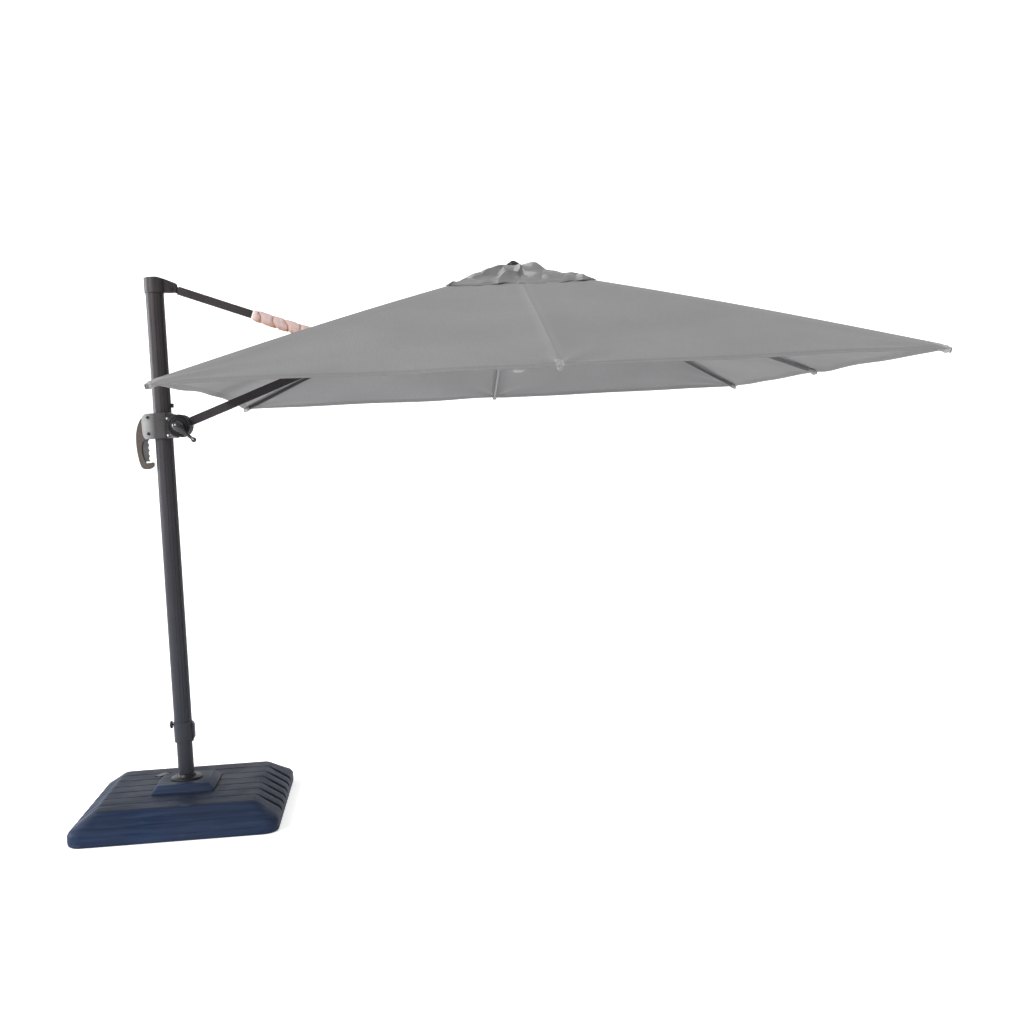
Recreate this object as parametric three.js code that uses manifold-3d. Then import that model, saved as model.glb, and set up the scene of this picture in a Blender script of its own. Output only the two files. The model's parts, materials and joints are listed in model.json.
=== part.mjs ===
// Cantilever parasol with a square canopy, in millimetres, +Z up.
// The origin is the centre of the base's underside, on the mast's axis.
// +X runs from the mast towards the canopy's centre, and the parasol is modelled open.
import * as THREE from "three";
import { mergeVertices } from "three/addons/utils/BufferGeometryUtils.js";
import Module from "manifold-3d";

const wasm = await Module();
wasm.setup();

// ---------------------------------------------------------------- driving dimensions

const DEGREE = Math.PI / 180;
const GAP = 0.3; // between pieces that touch on the real object
const RUN = 0.4; // radial clearance of a pin in its hole
const PIN_RADIUS = 5; // of the arms' pivot pins
const PLUG_PLAY = 1.3; // each side, between a fitting's plug and the bore of its tube

// Base
const BASE_HALF = 470;
const BASE_CORNER = 65;
const BASE_SIDE_HEIGHT = 67;
const BASE_TOP_HALF = 360;
const BASE_HEIGHT = 133;
const BASE_WALL = 6;
const PLANKS = 7;

// Mast
const MAST_RADIUS = 42;
const MAST_WALL = 4;
const MAST_BOTTOM = 352;
const MAST_TOP = 2553;
const STUB_TOP = 640;

// Arms: the stay hangs from the mast head, and the boom rises from the slider
const PIVOT_X = 80; // both arm pivots on the mast side
const HEAD_PIVOT_Z = 2514;
const SLIDER_PIVOT_Z = 1864;
const ARM_ANGLE = 20.5; // degrees; the stay falls and the boom rises by it
const STAY_LENGTH = (HEAD_PIVOT_Z - SLIDER_PIVOT_Z) / 2 / Math.sin(ARM_ANGLE * DEGREE);
const STAY_HALF_HEIGHT = 19;
const STAY_HALF_WIDTH = 12.5;
const BOOM_HALF_HEIGHT = 20;
const BOOM_HALF_WIDTH = 13;
const TUBE_WALL = 2;

// Canopy and its frame
const CANOPY_HALF = 1500;
const CANOPY_X = 1710; // the canopy's centre
const CANOPY_APEX_Z = 2552;
const CANOPY_SLOPE = 0.375; // fall for each unit from the centre towards an edge
const CLOTH = 2;
const HUB_OFFSET = 75; // the canopy's axis beyond the boom's end pivot
const CROWN_PIVOT_RADIUS = 60;
const CROWN_PIVOT_Z = 2517;
const RUNNER_DROP = 420; // runner pivots below the crown pivots, open
const RUNNER_DROP_FOLDED = 1105;
const RIB_FOLDED_ANGLE = 86; // degrees below level
const RIB_HALF_HEIGHT = 10;
const RIB_HALF_WIDTH = 6;
const BRACKET_DEPTH = 20; // strut pivot below the rib's centre line
const MID_RIBS = { near: 270, right: 0, far: 90 };
const CORNER_RIBS = { near_left: 225, near_right: 315, far_right: 45, far_left: 135 };

const boomEndX = CANOPY_X - HUB_OFFSET;
const BOOM_LENGTH = (boomEndX - PIVOT_X) / Math.cos(ARM_ANGLE * DEGREE);
const BOOM_END_Z = SLIDER_PIVOT_Z + BOOM_LENGTH * Math.sin(ARM_ANGLE * DEGREE);

// ---------------------------------------------------------------- materials

function finish(color, roughness, metalness) {
  return new THREE.MeshStandardMaterial({ color, roughness, metalness });
}

const MATERIALS = {
  basePlastic: finish(0x2d3340, 0.45, 0.0),
  stone: finish(0x8d8a84, 0.95, 0.0),
  steel: finish(0x8b8f94, 0.4, 0.9),
  darkPaint: finish(0x3b393b, 0.5, 0.4),
  blackPlastic: finish(0x17171b, 0.45, 0.0),
  nylon: finish(0xcfd0cc, 0.6, 0.0),
  greyPlastic: finish(0x6b6660, 0.4, 0.2),
  foam: finish(0xe6cdc9, 0.85, 0.0),
  ribPaint: finish(0x7d7d80, 0.5, 0.3),
  fabric: finish(0x909094, 0.9, 0.0),
};

// ---------------------------------------------------------------- solids

/** Position-only geometry with shared corners, no empty triangles, and its faces pointing out. */
function tidy(geometry) {
  const bare = new THREE.BufferGeometry();
  bare.setAttribute("position", geometry.getAttribute("position").clone());
  if (geometry.index) bare.setIndex(geometry.index.clone());
  const merged = mergeVertices(bare, 1e-3);
  const position = merged.getAttribute("position");
  const corner = [new THREE.Vector3(), new THREE.Vector3(), new THREE.Vector3()];
  const kept = [];
  let volume = 0;
  for (let i = 0; i < merged.index.count; i += 3) {
    const [a, b, c] = [0, 1, 2].map((k) => merged.index.getX(i + k));
    if (a === b || b === c || c === a) continue;
    [a, b, c].forEach((vertex, k) => corner[k].fromBufferAttribute(position, vertex));
    volume += corner[0].dot(corner[1].clone().cross(corner[2]));
    kept.push(a, b, c);
  }
  if (volume < 0) kept.reverse();
  merged.setIndex(kept);
  return merged;
}

function toManifold(geometry) {
  const clean = tidy(geometry);
  const vertProperties = new Float32Array(clean.getAttribute("position").array);
  const triVerts = new Uint32Array(clean.index.array);
  return new wasm.Manifold(new wasm.Mesh({ numProp: 3, vertProperties, triVerts }));
}

function fromManifold(solid) {
  const { vertProperties, triVerts } = solid.getMesh();
  const geometry = new THREE.BufferGeometry();
  geometry.setAttribute("position", new THREE.BufferAttribute(vertProperties, 3));
  geometry.setIndex(new THREE.BufferAttribute(triVerts, 1));
  return geometry;
}

function combine(operation, first, others) {
  let solid = toManifold(first);
  for (const other of others) solid = solid[operation](toManifold(other));
  return fromManifold(solid);
}

const join = (first, ...others) => combine("add", first, others);
const cut = (first, ...others) => combine("subtract", first, others);
const common = (first, ...others) => combine("intersect", first, others);

/** A box given by its limits. */
function block(x0, x1, y0, y1, z0, z1) {
  const geometry = new THREE.BoxGeometry(x1 - x0, y1 - y0, z1 - z0);
  return geometry.translate((x0 + x1) / 2, (y0 + y1) / 2, (z0 + z1) / 2);
}

/** A cylinder along one axis, from one coordinate to another. */
function rod(axis, radius, from, to, segments = 20) {
  const geometry = new THREE.CylinderGeometry(radius, radius, to - from, segments);
  geometry.translate(0, (from + to) / 2, 0);
  if (axis === "x") geometry.rotateZ(-Math.PI / 2);
  if (axis === "z") geometry.rotateX(Math.PI / 2);
  return geometry;
}

/** A solid of revolution about Z from [radius, z] points that start and end on the axis or close. */
function turned(profile, segments = 24) {
  const points = profile.map(([radius, z]) => new THREE.Vector2(radius, z));
  return new THREE.LatheGeometry(points, segments).rotateX(Math.PI / 2);
}

/** A turned ring with a rectangular section. */
function ring(inner, outer, z0, z1, segments = 24) {
  return turned([[inner, z0], [outer, z0], [outer, z1], [inner, z1], [inner, z0]], segments);
}

function outline(points) {
  return new THREE.Shape(points.map(([x, y]) => new THREE.Vector2(x, y)));
}

/** An XY outline raised from z0 to z1. */
function slab(shape, z0, z1, curveSegments = 8) {
  const options = { depth: z1 - z0, bevelEnabled: false, curveSegments };
  return new THREE.ExtrudeGeometry(shape, options).translate(0, 0, z0);
}

/** An XZ outline with its thickness from y0 to y1. */
function plate(shape, y0, y1, curveSegments = 8) {
  const options = { depth: y1 - y0, bevelEnabled: false, curveSegments };
  return new THREE.ExtrudeGeometry(shape, options).rotateX(Math.PI / 2).translate(0, y1, 0);
}

/** A YZ section drawn out along X from x0 to x1; the shape's x is Y and its y is Z. */
function bar(shape, x0, x1) {
  const options = { depth: x1 - x0, bevelEnabled: false };
  const geometry = new THREE.ExtrudeGeometry(shape, options);
  return geometry.rotateX(Math.PI / 2).rotateZ(Math.PI / 2).translate(x0, 0, 0);
}

/** Corner points of a rectangle about the origin with its corners cut off. */
function chamferedRectangle(x, y, chamfer) {
  return [
    [x, y - chamfer], [x - chamfer, y], [chamfer - x, y], [-x, y - chamfer],
    [-x, chamfer - y], [chamfer - x, -y], [x - chamfer, -y], [x, chamfer - y],
  ];
}

/** A rectangular tube along X with bevelled edges. */
function boxTube(halfHeight, halfWidth, wall, x0, x1, bevel = 2.5) {
  const shape = outline(chamferedRectangle(halfWidth, halfHeight, bevel));
  const bore = chamferedRectangle(halfWidth - wall, halfHeight - wall, bevel * 0.6);
  shape.holes.push(outline(bore));
  return bar(shape, x0, x1);
}

/** A fitting's plug along X, with play in the bore of a rectangular tube. */
function tubePlug(halfHeight, halfWidth, x0, x1) {
  const y = halfWidth - TUBE_WALL - PLUG_PLAY;
  const z = halfHeight - TUBE_WALL - PLUG_PLAY;
  return block(x0, x1, -y, y, -z, z);
}

/** An eye: a round end about the origin with a straight tail along X, as an XZ outline. */
function eye(radius, x1) {
  const shape = new THREE.Shape();
  shape.absarc(0, 0, radius, Math.PI / 2, Math.PI * 1.5);
  shape.lineTo(x1, -radius);
  shape.lineTo(x1, radius);
  return shape;
}

/** Rounded squares [half, corner radius, z], stacked from the bottom to the top and capped. */
function loft(levels, cornerSegments = 5) {
  const rings = levels.map(([half, radius, z]) => {
    const points = [];
    for (let corner = 0; corner < 4; corner += 1) {
      for (let i = 0; i <= cornerSegments; i += 1) {
        const turn = (corner + i / cornerSegments) * (Math.PI / 2);
        const sx = [1, -1, -1, 1][corner];
        const sy = [1, 1, -1, -1][corner];
        const x = sx * (half - radius) + radius * Math.cos(turn);
        points.push([x, sy * (half - radius) + radius * Math.sin(turn), z]);
      }
    }
    return points;
  });
  const count = rings[0].length;
  const vertices = rings.flat();
  const faces = [];
  for (let level = 0; level + 1 < rings.length; level += 1) {
    for (let i = 0; i < count; i += 1) {
      const a = level * count + i;
      const b = level * count + ((i + 1) % count);
      faces.push(a, b, b + count, a, b + count, a + count);
    }
  }
  const bottom = vertices.push([0, 0, levels[0][2]]) - 1;
  const top = vertices.push([0, 0, levels.at(-1)[2]]) - 1;
  const last = (rings.length - 1) * count;
  for (let i = 0; i < count; i += 1) {
    const next = (i + 1) % count;
    faces.push(bottom, next, i, top, last + i, last + next);
  }
  const geometry = new THREE.BufferGeometry();
  geometry.setAttribute("position", new THREE.Float32BufferAttribute(vertices.flat(), 3));
  geometry.setIndex(faces);
  return geometry;
}

// ---------------------------------------------------------------- assembly helpers

const parasol = new THREE.Group();

function group(parent, x = 0, y = 0, z = 0) {
  const made = new THREE.Group();
  made.position.set(x, y, z);
  parent.add(made);
  return made;
}

function piece(parent, name, geometry, material) {
  const clean = tidy(geometry);
  const flat = clean.toNonIndexed();
  flat.computeVertexNormals();
  const mesh = new THREE.Mesh(flat, material);
  mesh.name = name;
  parent.add(mesh);
  return mesh;
}

// ---------------------------------------------------------------- base

const FRAME_THICKNESS = 8;
const SPINDLE_RADIUS = 25;
const SPINDLE_TOP = 330;
const HOUSING_HALF = 147;
const HOUSING_TOP_HALF = 120;
const HOUSING_TOP = 168;
const PEDAL_AZIMUTH = 140; // degrees; the pedal is behind the mast, on the side away from the canopy
const PEDAL_PIVOT = { r: 130, z: 150 };
const PEDAL_PIN_RADIUS = 4;

function baseShell() {
  const top = BASE_HEIGHT;
  const side = BASE_SIDE_HEIGHT;
  const outer = loft([
    [BASE_HALF - 4, BASE_CORNER, 0],
    [BASE_HALF, BASE_CORNER, 6],
    [BASE_HALF, BASE_CORNER, side - 5],
    [BASE_HALF - 7, BASE_CORNER - 3, side + 5],
    [BASE_TOP_HALF + 6, 46, top - 4],
    [BASE_TOP_HALF - 2, 40, top],
  ]);
  const inner = loft([
    [BASE_HALF - BASE_WALL, BASE_CORNER - BASE_WALL, -1],
    [BASE_HALF - BASE_WALL, BASE_CORNER - BASE_WALL, side - 7],
    [BASE_TOP_HALF, 40, top - BASE_WALL],
  ]);
  const grooves = [];
  const plankWidth = (2 * BASE_TOP_HALF) / PLANKS;
  for (let i = 1; i < PLANKS; i += 1) {
    const y = -BASE_TOP_HALF + i * plankWidth;
    grooves.push(block(-BASE_TOP_HALF - 20, BASE_TOP_HALF + 20, y - 2.5, y + 2.5, top - 2.5, top + 5));
  }
  const spindleHole = rod("z", SPINDLE_RADIUS + 1, top - 20, top + 5);
  return cut(outer, inner, spindleHole, ...grooves);
}

function crossFrame() {
  const reach = BASE_HALF - 15;
  const alongX = block(-reach, reach, -40, 40, 0, FRAME_THICKNESS);
  const alongY = block(-40, 40, -reach, reach, 0, FRAME_THICKNESS);
  return join(block(-130, 130, -130, 130, 0, FRAME_THICKNESS), alongX, alongY);
}

function swivelHousing() {
  const wall = 4;
  const outer = loft([
    [HOUSING_HALF, 14, BASE_HEIGHT + GAP],
    [HOUSING_HALF, 14, BASE_HEIGHT + 6],
    [HOUSING_TOP_HALF + 3, 12, HOUSING_TOP - 2],
    [HOUSING_TOP_HALF, 10, HOUSING_TOP],
  ], 2);
  const inner = loft([
    [HOUSING_HALF - wall, 12, BASE_HEIGHT - 1],
    [HOUSING_HALF - wall, 12, BASE_HEIGHT + 4],
    [HOUSING_TOP_HALF - 1, 10, HOUSING_TOP - wall],
  ], 2);
  const { r, z } = PEDAL_PIVOT;
  const azimuth = PEDAL_AZIMUTH * DEGREE;
  const recess = block(140, 240, -37, 37, 140, 190).rotateZ(azimuth);
  const lugs = [-16, 12].map((t) => block(r - 11, r + 9, t, t + 4, z - 9, HOUSING_TOP - 2));
  const pinHole = rod("y", PEDAL_PIN_RADIUS + RUN, -30, 30).translate(r, 0, z);
  const turnedLugs = lugs.map((lug) => cut(lug, pinHole).rotateZ(azimuth));
  const shell = cut(outer, inner, rod("z", MAST_RADIUS, 150, 180, 24));
  return cut(join(shell, ...turnedLugs), recess);
}

function footPedal() {
  const { r, z } = PEDAL_PIVOT;
  const arm = outline([
    [r - 38, z - 4], [r + 22, z - 4], [r + 34, z + 7], [r + 34, z + 13],
    [r + 26, z + 13], [r + 14, z + 4], [r - 38, z + 4],
  ]);
  const pad = block(r + 30, r + 68, -32, 32, z + 8, z + 14);
  const boss = rod("y", 8, -9.7, 9.7).translate(r, 0, z);
  const pinHole = rod("y", PEDAL_PIN_RADIUS + RUN, -20, 20).translate(r, 0, z);
  return cut(join(plate(arm, -9.7, 9.7), boss, pad), pinHole);
}

function buildBase() {
  const base = group(parasol);
  piece(base, "base_shell", baseShell(), MATERIALS.basePlastic);
  const fill = cut(block(-340, 340, -340, 340, 11, 100), rod("z", SPINDLE_RADIUS + 1, 0, 110));
  piece(base, "base_ballast", fill, MATERIALS.stone);
  piece(base, "base_cross_frame", crossFrame(), MATERIALS.steel);
  const spindle = ring(21, SPINDLE_RADIUS, FRAME_THICKNESS + GAP, SPINDLE_TOP);
  piece(base, "swivel_spindle", spindle, MATERIALS.steel);
  piece(base, "swivel_bush", ring(25.4, 27.6, 180, 326), MATERIALS.nylon);
  piece(base, "swivel_housing", swivelHousing(), MATERIALS.basePlastic);
  const pedalGroup = group(base);
  pedalGroup.rotation.z = PEDAL_AZIMUTH * DEGREE;
  const pedalPin = rod("y", PEDAL_PIN_RADIUS, -19, 19).translate(PEDAL_PIVOT.r, 0, PEDAL_PIVOT.z);
  piece(pedalGroup, "pedal_pin", pedalPin, MATERIALS.steel);
  piece(pedalGroup, "foot_pedal", footPedal(), MATERIALS.blackPlastic);
  piece(pedalGroup, "brake_shoe", block(64, 86, -20, 20, 142, 160), MATERIALS.blackPlastic);
}

// ---------------------------------------------------------------- mast

const STUB_RADIUS = MAST_RADIUS - MAST_WALL - 0.6;
const SLEEVE_BOTTOM = 348;
const SLEEVE_TOP = 444;
const KNOB_Z = 432;
const HEAD_BOTTOM = 2496;
const HEAD_TOP = 2567;
const SLIDER_STOP = { bottom: 1952, top: 1972 }; // just above the slider when the parasol is open

/** Points on a circle about the origin, from one angle to another in degrees. */
function arcPoints(radius, from, to, steps) {
  return Array.from({ length: steps + 1 }, (_, i) => {
    const angle = (from + ((to - from) * i) / steps) * DEGREE;
    return [radius * Math.cos(angle), radius * Math.sin(angle)];
  });
}

/** The mast's section: a round tube with three shallow lines a side and one track facing the boom. */
function mastTube() {
  const points = [];
  let from = 94;
  for (const azimuth of [-86, -66, -40, 0, 40, 66, 86]) {
    const half = azimuth === 0 ? 7 : 2.2;
    const inner = MAST_RADIUS - (azimuth === 0 ? 3 : 2);
    const centre = azimuth + 360;
    const steps = Math.ceil((centre - half - from) / 9);
    points.push(...arcPoints(MAST_RADIUS, from, centre - half, steps));
    points.push(...arcPoints(inner, centre - half, centre + half, 1));
    from = centre + half;
  }
  points.push(...arcPoints(MAST_RADIUS, from, 451, 1));
  const shape = outline(points);
  const bore = arcPoints(MAST_RADIUS - MAST_WALL, 0, 360, 28).slice(1);
  shape.holes.push(outline(bore));
  return slab(shape, MAST_BOTTOM, MAST_TOP);
}

function mastSleeve() {
  const body = ring(MAST_RADIUS - 1, MAST_RADIUS + 3.5, SLEEVE_BOTTOM, SLEEVE_TOP, 28);
  const bulge = outline([[42.6, 354], [49, 360], [53, 368], [53, 428], [49, 437], [42.6, 441]]);
  const socket = rod("x", 4.6, -60, -30, 12).translate(0, 0, KNOB_Z);
  return cut(join(body, plate(bulge, -16, 16)), rod("z", MAST_RADIUS + GAP, 340, 450, 28), socket);
}

function mastKnob() {
  const profile = [
    [0, 42.6], [4, 42.6], [4, 49], [15, 49], [18, 51.5], [18.5, 56], [16.5, 60.5], [9, 63], [0, 63],
  ];
  return turned(profile, 16).rotateY(-Math.PI / 2).translate(0, 0, KNOB_Z);
}

function mastHead() {
  const plan = new THREE.Shape();
  plan.moveTo(40, -20);
  plan.lineTo(101, -17);
  plan.quadraticCurveTo(106, -16, 106, -11);
  plan.lineTo(106, 11);
  plan.quadraticCurveTo(106, 16, 101, 17);
  plan.lineTo(40, 20);
  plan.absarc(2, 0, 48.5, 30 * DEGREE, 330 * DEGREE);
  const side = outline([
    [-60, HEAD_BOTTOM], [107, HEAD_BOTTOM - 2], [107, 2530], [102, 2536], [52, 2558],
    [24, 2566], [16, HEAD_TOP], [-42, HEAD_TOP], [-47, HEAD_TOP - 4], [-60, HEAD_TOP - 6],
  ]);
  const body = common(slab(plan, HEAD_BOTTOM - 4, HEAD_TOP + 4), plate(side, -60, 60));
  const socket = rod("z", MAST_RADIUS + GAP, HEAD_BOTTOM - 10, MAST_TOP + GAP, 28);
  const fork = block(60, 120, -10.3, 10.3, HEAD_BOTTOM - 10, 2532);
  const pinHole = rod("y", PIN_RADIUS + RUN, -40, 40).translate(PIVOT_X, 0, HEAD_PIVOT_Z);
  return cut(body, socket, fork, pinHole);
}

/** A headed pin along Y, centred on the origin. */
function headedPin(radius, halfLength, headRadius) {
  const head = rod("y", headRadius, -halfLength - 4, -halfLength, 16);
  const nut = rod("y", headRadius, halfLength, halfLength + 4, 6);
  return join(rod("y", radius, -halfLength - 1, halfLength + 1, 16), head, nut);
}

function buildMast() {
  const mast = group(parasol);
  piece(mast, "stub_post", ring(28, STUB_RADIUS, 142, STUB_TOP, 28), MATERIALS.darkPaint);
  piece(mast, "brake_drum", ring(STUB_RADIUS + GAP, 58, 142, 160, 28), MATERIALS.steel);
  const collar = [
    [STUB_RADIUS + GAP, 168.5], [74, 168.5], [74, 174], [70, 177], [50, 181], [44, 192],
    [STUB_RADIUS + GAP, 194], [STUB_RADIUS + GAP, 168.5],
  ];
  piece(mast, "swivel_collar", turned(collar, 28), MATERIALS.blackPlastic);
  piece(mast, "mast_tube", mastTube(), MATERIALS.darkPaint);
  piece(mast, "mast_sleeve", mastSleeve(), MATERIALS.darkPaint);
  piece(mast, "mast_knob", mastKnob(), MATERIALS.blackPlastic);
  piece(mast, "mast_head", mastHead(), MATERIALS.darkPaint);
  const headPin = headedPin(PIN_RADIUS, 20.4, 8).translate(PIVOT_X, 0, HEAD_PIVOT_Z);
  piece(mast, "head_pin", headPin, MATERIALS.steel);
  const { bottom, top } = SLIDER_STOP;
  const stopBlock = block(MAST_RADIUS + GAP, 54, -8.5, 8.5, bottom, top);
  piece(mast, "slider_stop", stopBlock, MATERIALS.blackPlastic);
}

// ---------------------------------------------------------------- slider, with heights from its pivot

const SLIDER_TOP = 65;
const SLIDER_BOTTOM = -56;
const LINER_OUTER = 46;
const EAR_INNER = 19.5;
const EAR_OUTER = 46;
const HANDLE_HALF_WIDTH = 14;
const SIDE_BOLT_X = -64;
const SIDE_BOLT_HEIGHTS = { upper: 46, lower: -31 };
const FRONT_SCREW_X = 27;
const FRONT_SCREW_HEIGHTS = { upper: 36.5, lower: -43 };
const DISC_RADIUS = 54;
const TRIGGER_PIVOT = { x: -86, z: -46 };

/** Holes along Y from y0 to y1 at one X and at each of the named heights. */
function crossBores(radius, x, heights, y0, y1) {
  return Object.values(heights).map((z) => rod("y", radius, y0, y1, 12).translate(x, 0, z));
}

function sliderBody() {
  const plan = outline([
    [-98, 17], [-94, 24], [-60, 37], [-35, 46], [-15, 51.5], [5, 53], [17, 51], [21, EAR_OUTER],
    [140, EAR_OUTER], [140, -EAR_OUTER], [21, -EAR_OUTER], [17, -51], [5, -53], [-15, -51.5],
    [-35, -46], [-60, -37], [-94, -24], [-98, -17],
  ]);
  const side = new THREE.Shape();
  side.moveTo(-72, SLIDER_TOP);
  side.bezierCurveTo(-90, 62, -99, 45, -99, 15);
  side.bezierCurveTo(-99, -20, -94, -48, -80, SLIDER_BOTTOM);
  side.lineTo(62, SLIDER_BOTTOM);
  side.absarc(PIVOT_X, 0, 50, -105 * DEGREE, 95 * DEGREE);
  side.bezierCurveTo(60, 54, 45, 63, 20, SLIDER_TOP);
  const body = common(slab(plan, SLIDER_BOTTOM - 1, SLIDER_TOP + 1), plate(side, -60, 60));
  const bore = rod("z", LINER_OUTER + GAP, -80, 80, 28);
  const boomGap = block(53, 150, -EAR_INNER, EAR_INNER, -80, 80);
  const handleGap = block(-110, -54, -HANDLE_HALF_WIDTH - 0.4, HANDLE_HALF_WIDTH + 0.4, -80, 80);
  const discBore = rod("y", 14.4, -60, 60, 24).translate(PIVOT_X, 0, 0);
  const boltBores = crossBores(4.4, SIDE_BOLT_X, SIDE_BOLT_HEIGHTS, -60, 60);
  const screwBores = crossBores(3.4, FRONT_SCREW_X, FRONT_SCREW_HEIGHTS, -60, -39);
  return cut(body, bore, boomGap, handleGap, discBore, ...boltBores, ...screwBores);
}

function sliderHandle() {
  const shape = new THREE.Shape();
  shape.moveTo(-57, 60);
  shape.lineTo(-78, 60);
  shape.bezierCurveTo(-104, 50, -122, 15, -128, -30);
  shape.bezierCurveTo(-134, -85, -126, -150, -113, -185);
  shape.bezierCurveTo(-106, -203, -68, -203, -56, -188);
  shape.quadraticCurveTo(-49, -174, -56, -167);
  shape.quadraticCurveTo(-60, -165, -66, -168);
  shape.lineTo(-90, -169);
  shape.bezierCurveTo(-106, -135, -112, -90, -98, -66);
  shape.quadraticCurveTo(-90, -58, -72, -57);
  shape.lineTo(-57, -54);
  const channel = outline([
    [-70, -34], [-104, -34], [-118, -60], [-122, -100], [-118, -140], [-111, -164.5], [-60, -164.5],
  ]);
  const boltBores = crossBores(4.4, SIDE_BOLT_X, SIDE_BOLT_HEIGHTS, -30, 30);
  const pivot = rod("y", 3.4, -11.4, 11.4, 12).translate(TRIGGER_PIVOT.x, 0, TRIGGER_PIVOT.z);
  const solid = plate(shape, -HANDLE_HALF_WIDTH, HANDLE_HALF_WIDTH, 5);
  return cut(solid, plate(channel, -8, 8), pivot, ...boltBores);
}

function handleTrigger() {
  const shape = new THREE.Shape();
  shape.moveTo(-77, -38);
  shape.lineTo(-95, -38);
  shape.bezierCurveTo(-104, -60, -107, -110, -96, -162);
  shape.lineTo(-70, -162);
  const tips = [-162, -136, -110, -84, -58];
  tips.slice(1).forEach((z, i) => {
    shape.quadraticCurveTo(-83, (z + tips[i]) / 2, -71, z);
  });
  const stubs = rod("y", 3, -11, 11, 12).translate(TRIGGER_PIVOT.x, 0, TRIGGER_PIVOT.z);
  return join(plate(shape, -7, 7, 4), stubs);
}

/** One half of the tilt joint: a stepped disc on the ear's outside with a stub that ends inside it. */
function jointDisc(side) {
  const profile = [
    [0, 17], [14, 17], [14, EAR_OUTER + GAP], [DISC_RADIUS, EAR_OUTER + GAP], [DISC_RADIUS, 52],
    [DISC_RADIUS - 3, 54.5], [46, 55], [42, 53], [38, 59], [0, 59],
  ];
  return turned(profile, 24).rotateX((side * Math.PI) / 2).translate(PIVOT_X, 0, 0);
}

function clampLever() {
  const hub = rod("y", 22, -80, -59.5, 20);
  const tilt = 43 * DEGREE;
  const cone = [
    [0, -38], [13, -36], [21.5, -28], [25.5, -16], [25.5, -7], [21, 12], [11, 38], [7.5, 50],
    [7.5, 74], [10, 78], [12.5, 85], [10, 93], [5, 97], [0, 98],
  ];
  const grip = turned(cone, 18).rotateY(Math.PI / 2 + tilt).translate(8, -86, -12);
  return join(hub, grip).translate(PIVOT_X, 0, 0);
}

function domedScrew() {
  const profile = [[0, -6], [3, -6], [3, 0.4], [6, 0.4], [5.4, 3], [3.4, 5], [0, 5.8]];
  return turned(profile, 16).rotateX(Math.PI / 2);
}

function buildSlider() {
  const slider = group(parasol, 0, 0, SLIDER_PIVOT_Z);
  piece(slider, "slider_body", sliderBody(), MATERIALS.greyPlastic);
  const liner = ring(MAST_RADIUS + 0.5, LINER_OUTER, SLIDER_BOTTOM + 1, SLIDER_TOP - 1, 28);
  piece(slider, "slider_liner", liner, MATERIALS.nylon);
  piece(slider, "slider_handle", sliderHandle(), MATERIALS.greyPlastic);
  piece(slider, "handle_trigger", handleTrigger(), MATERIALS.blackPlastic);
  for (const [place, z] of Object.entries(SIDE_BOLT_HEIGHTS)) {
    const bolt = headedPin(4, 38.6, 7).translate(SIDE_BOLT_X, 0, z);
    piece(slider, `side_bolt_${place}`, bolt, MATERIALS.blackPlastic);
  }
  for (const [place, z] of Object.entries(FRONT_SCREW_HEIGHTS)) {
    const screw = domedScrew().translate(FRONT_SCREW_X, -EAR_OUTER, z);
    piece(slider, `domed_screw_${place}`, screw, MATERIALS.steel);
  }
  piece(slider, "joint_disc_front", jointDisc(1), MATERIALS.blackPlastic);
  piece(slider, "joint_disc_rear", jointDisc(-1), MATERIALS.blackPlastic);
  piece(slider, "clamp_lever", clampLever(), MATERIALS.blackPlastic);
}

// ---------------------------------------------------------------- stay, along +X from the head pivot

const STAY_TUBE_START = 33;
const FORK_LENGTH = 175; // from the boom pin back to the stay tube's end
const FORK_INNER = 17.5;
const FORK_OUTER = 21.5;
const WRAP_START = 401;
const WRAP_END = 740;
const WRAP_RADIUS = 33;

function stayTopFitting() {
  const tongue = plate(eye(15, STAY_TUBE_START), -9.7, 9.7);
  const plug = tubePlug(STAY_HALF_HEIGHT, STAY_HALF_WIDTH, STAY_TUBE_START - 1, STAY_TUBE_START + 45);
  return cut(join(tongue, plug), rod("y", PIN_RADIUS + RUN, -20, 20));
}

function stayFork() {
  const back = -FORK_LENGTH;
  const pinHole = rod("y", PIN_RADIUS + GAP, -40, 40);
  const side = outline([[back, -17], [0, -17], [12, -12], [17, 0], [12, 12], [0, 17], [back, 17]]);
  const nearCheek = plate(side, -FORK_OUTER, -FORK_INNER);
  const farCheek = plate(side, FORK_INNER, FORK_OUTER);
  const bridge = block(back, back + 33, -FORK_OUTER, FORK_OUTER, -17, 17);
  const plug = tubePlug(STAY_HALF_HEIGHT, STAY_HALF_WIDTH, back - 40, back + 1);
  return cut(join(bridge, plug, nearCheek, farCheek), pinHole);
}

function stayWrap() {
  const y = STAY_HALF_WIDTH + 0.5;
  const z = STAY_HALF_HEIGHT + 0.5;
  const hole = block(WRAP_START - 10, WRAP_END + 10, -y, y, -z, z);
  return cut(rod("x", WRAP_RADIUS, WRAP_START, WRAP_END, 16), hole);
}

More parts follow.
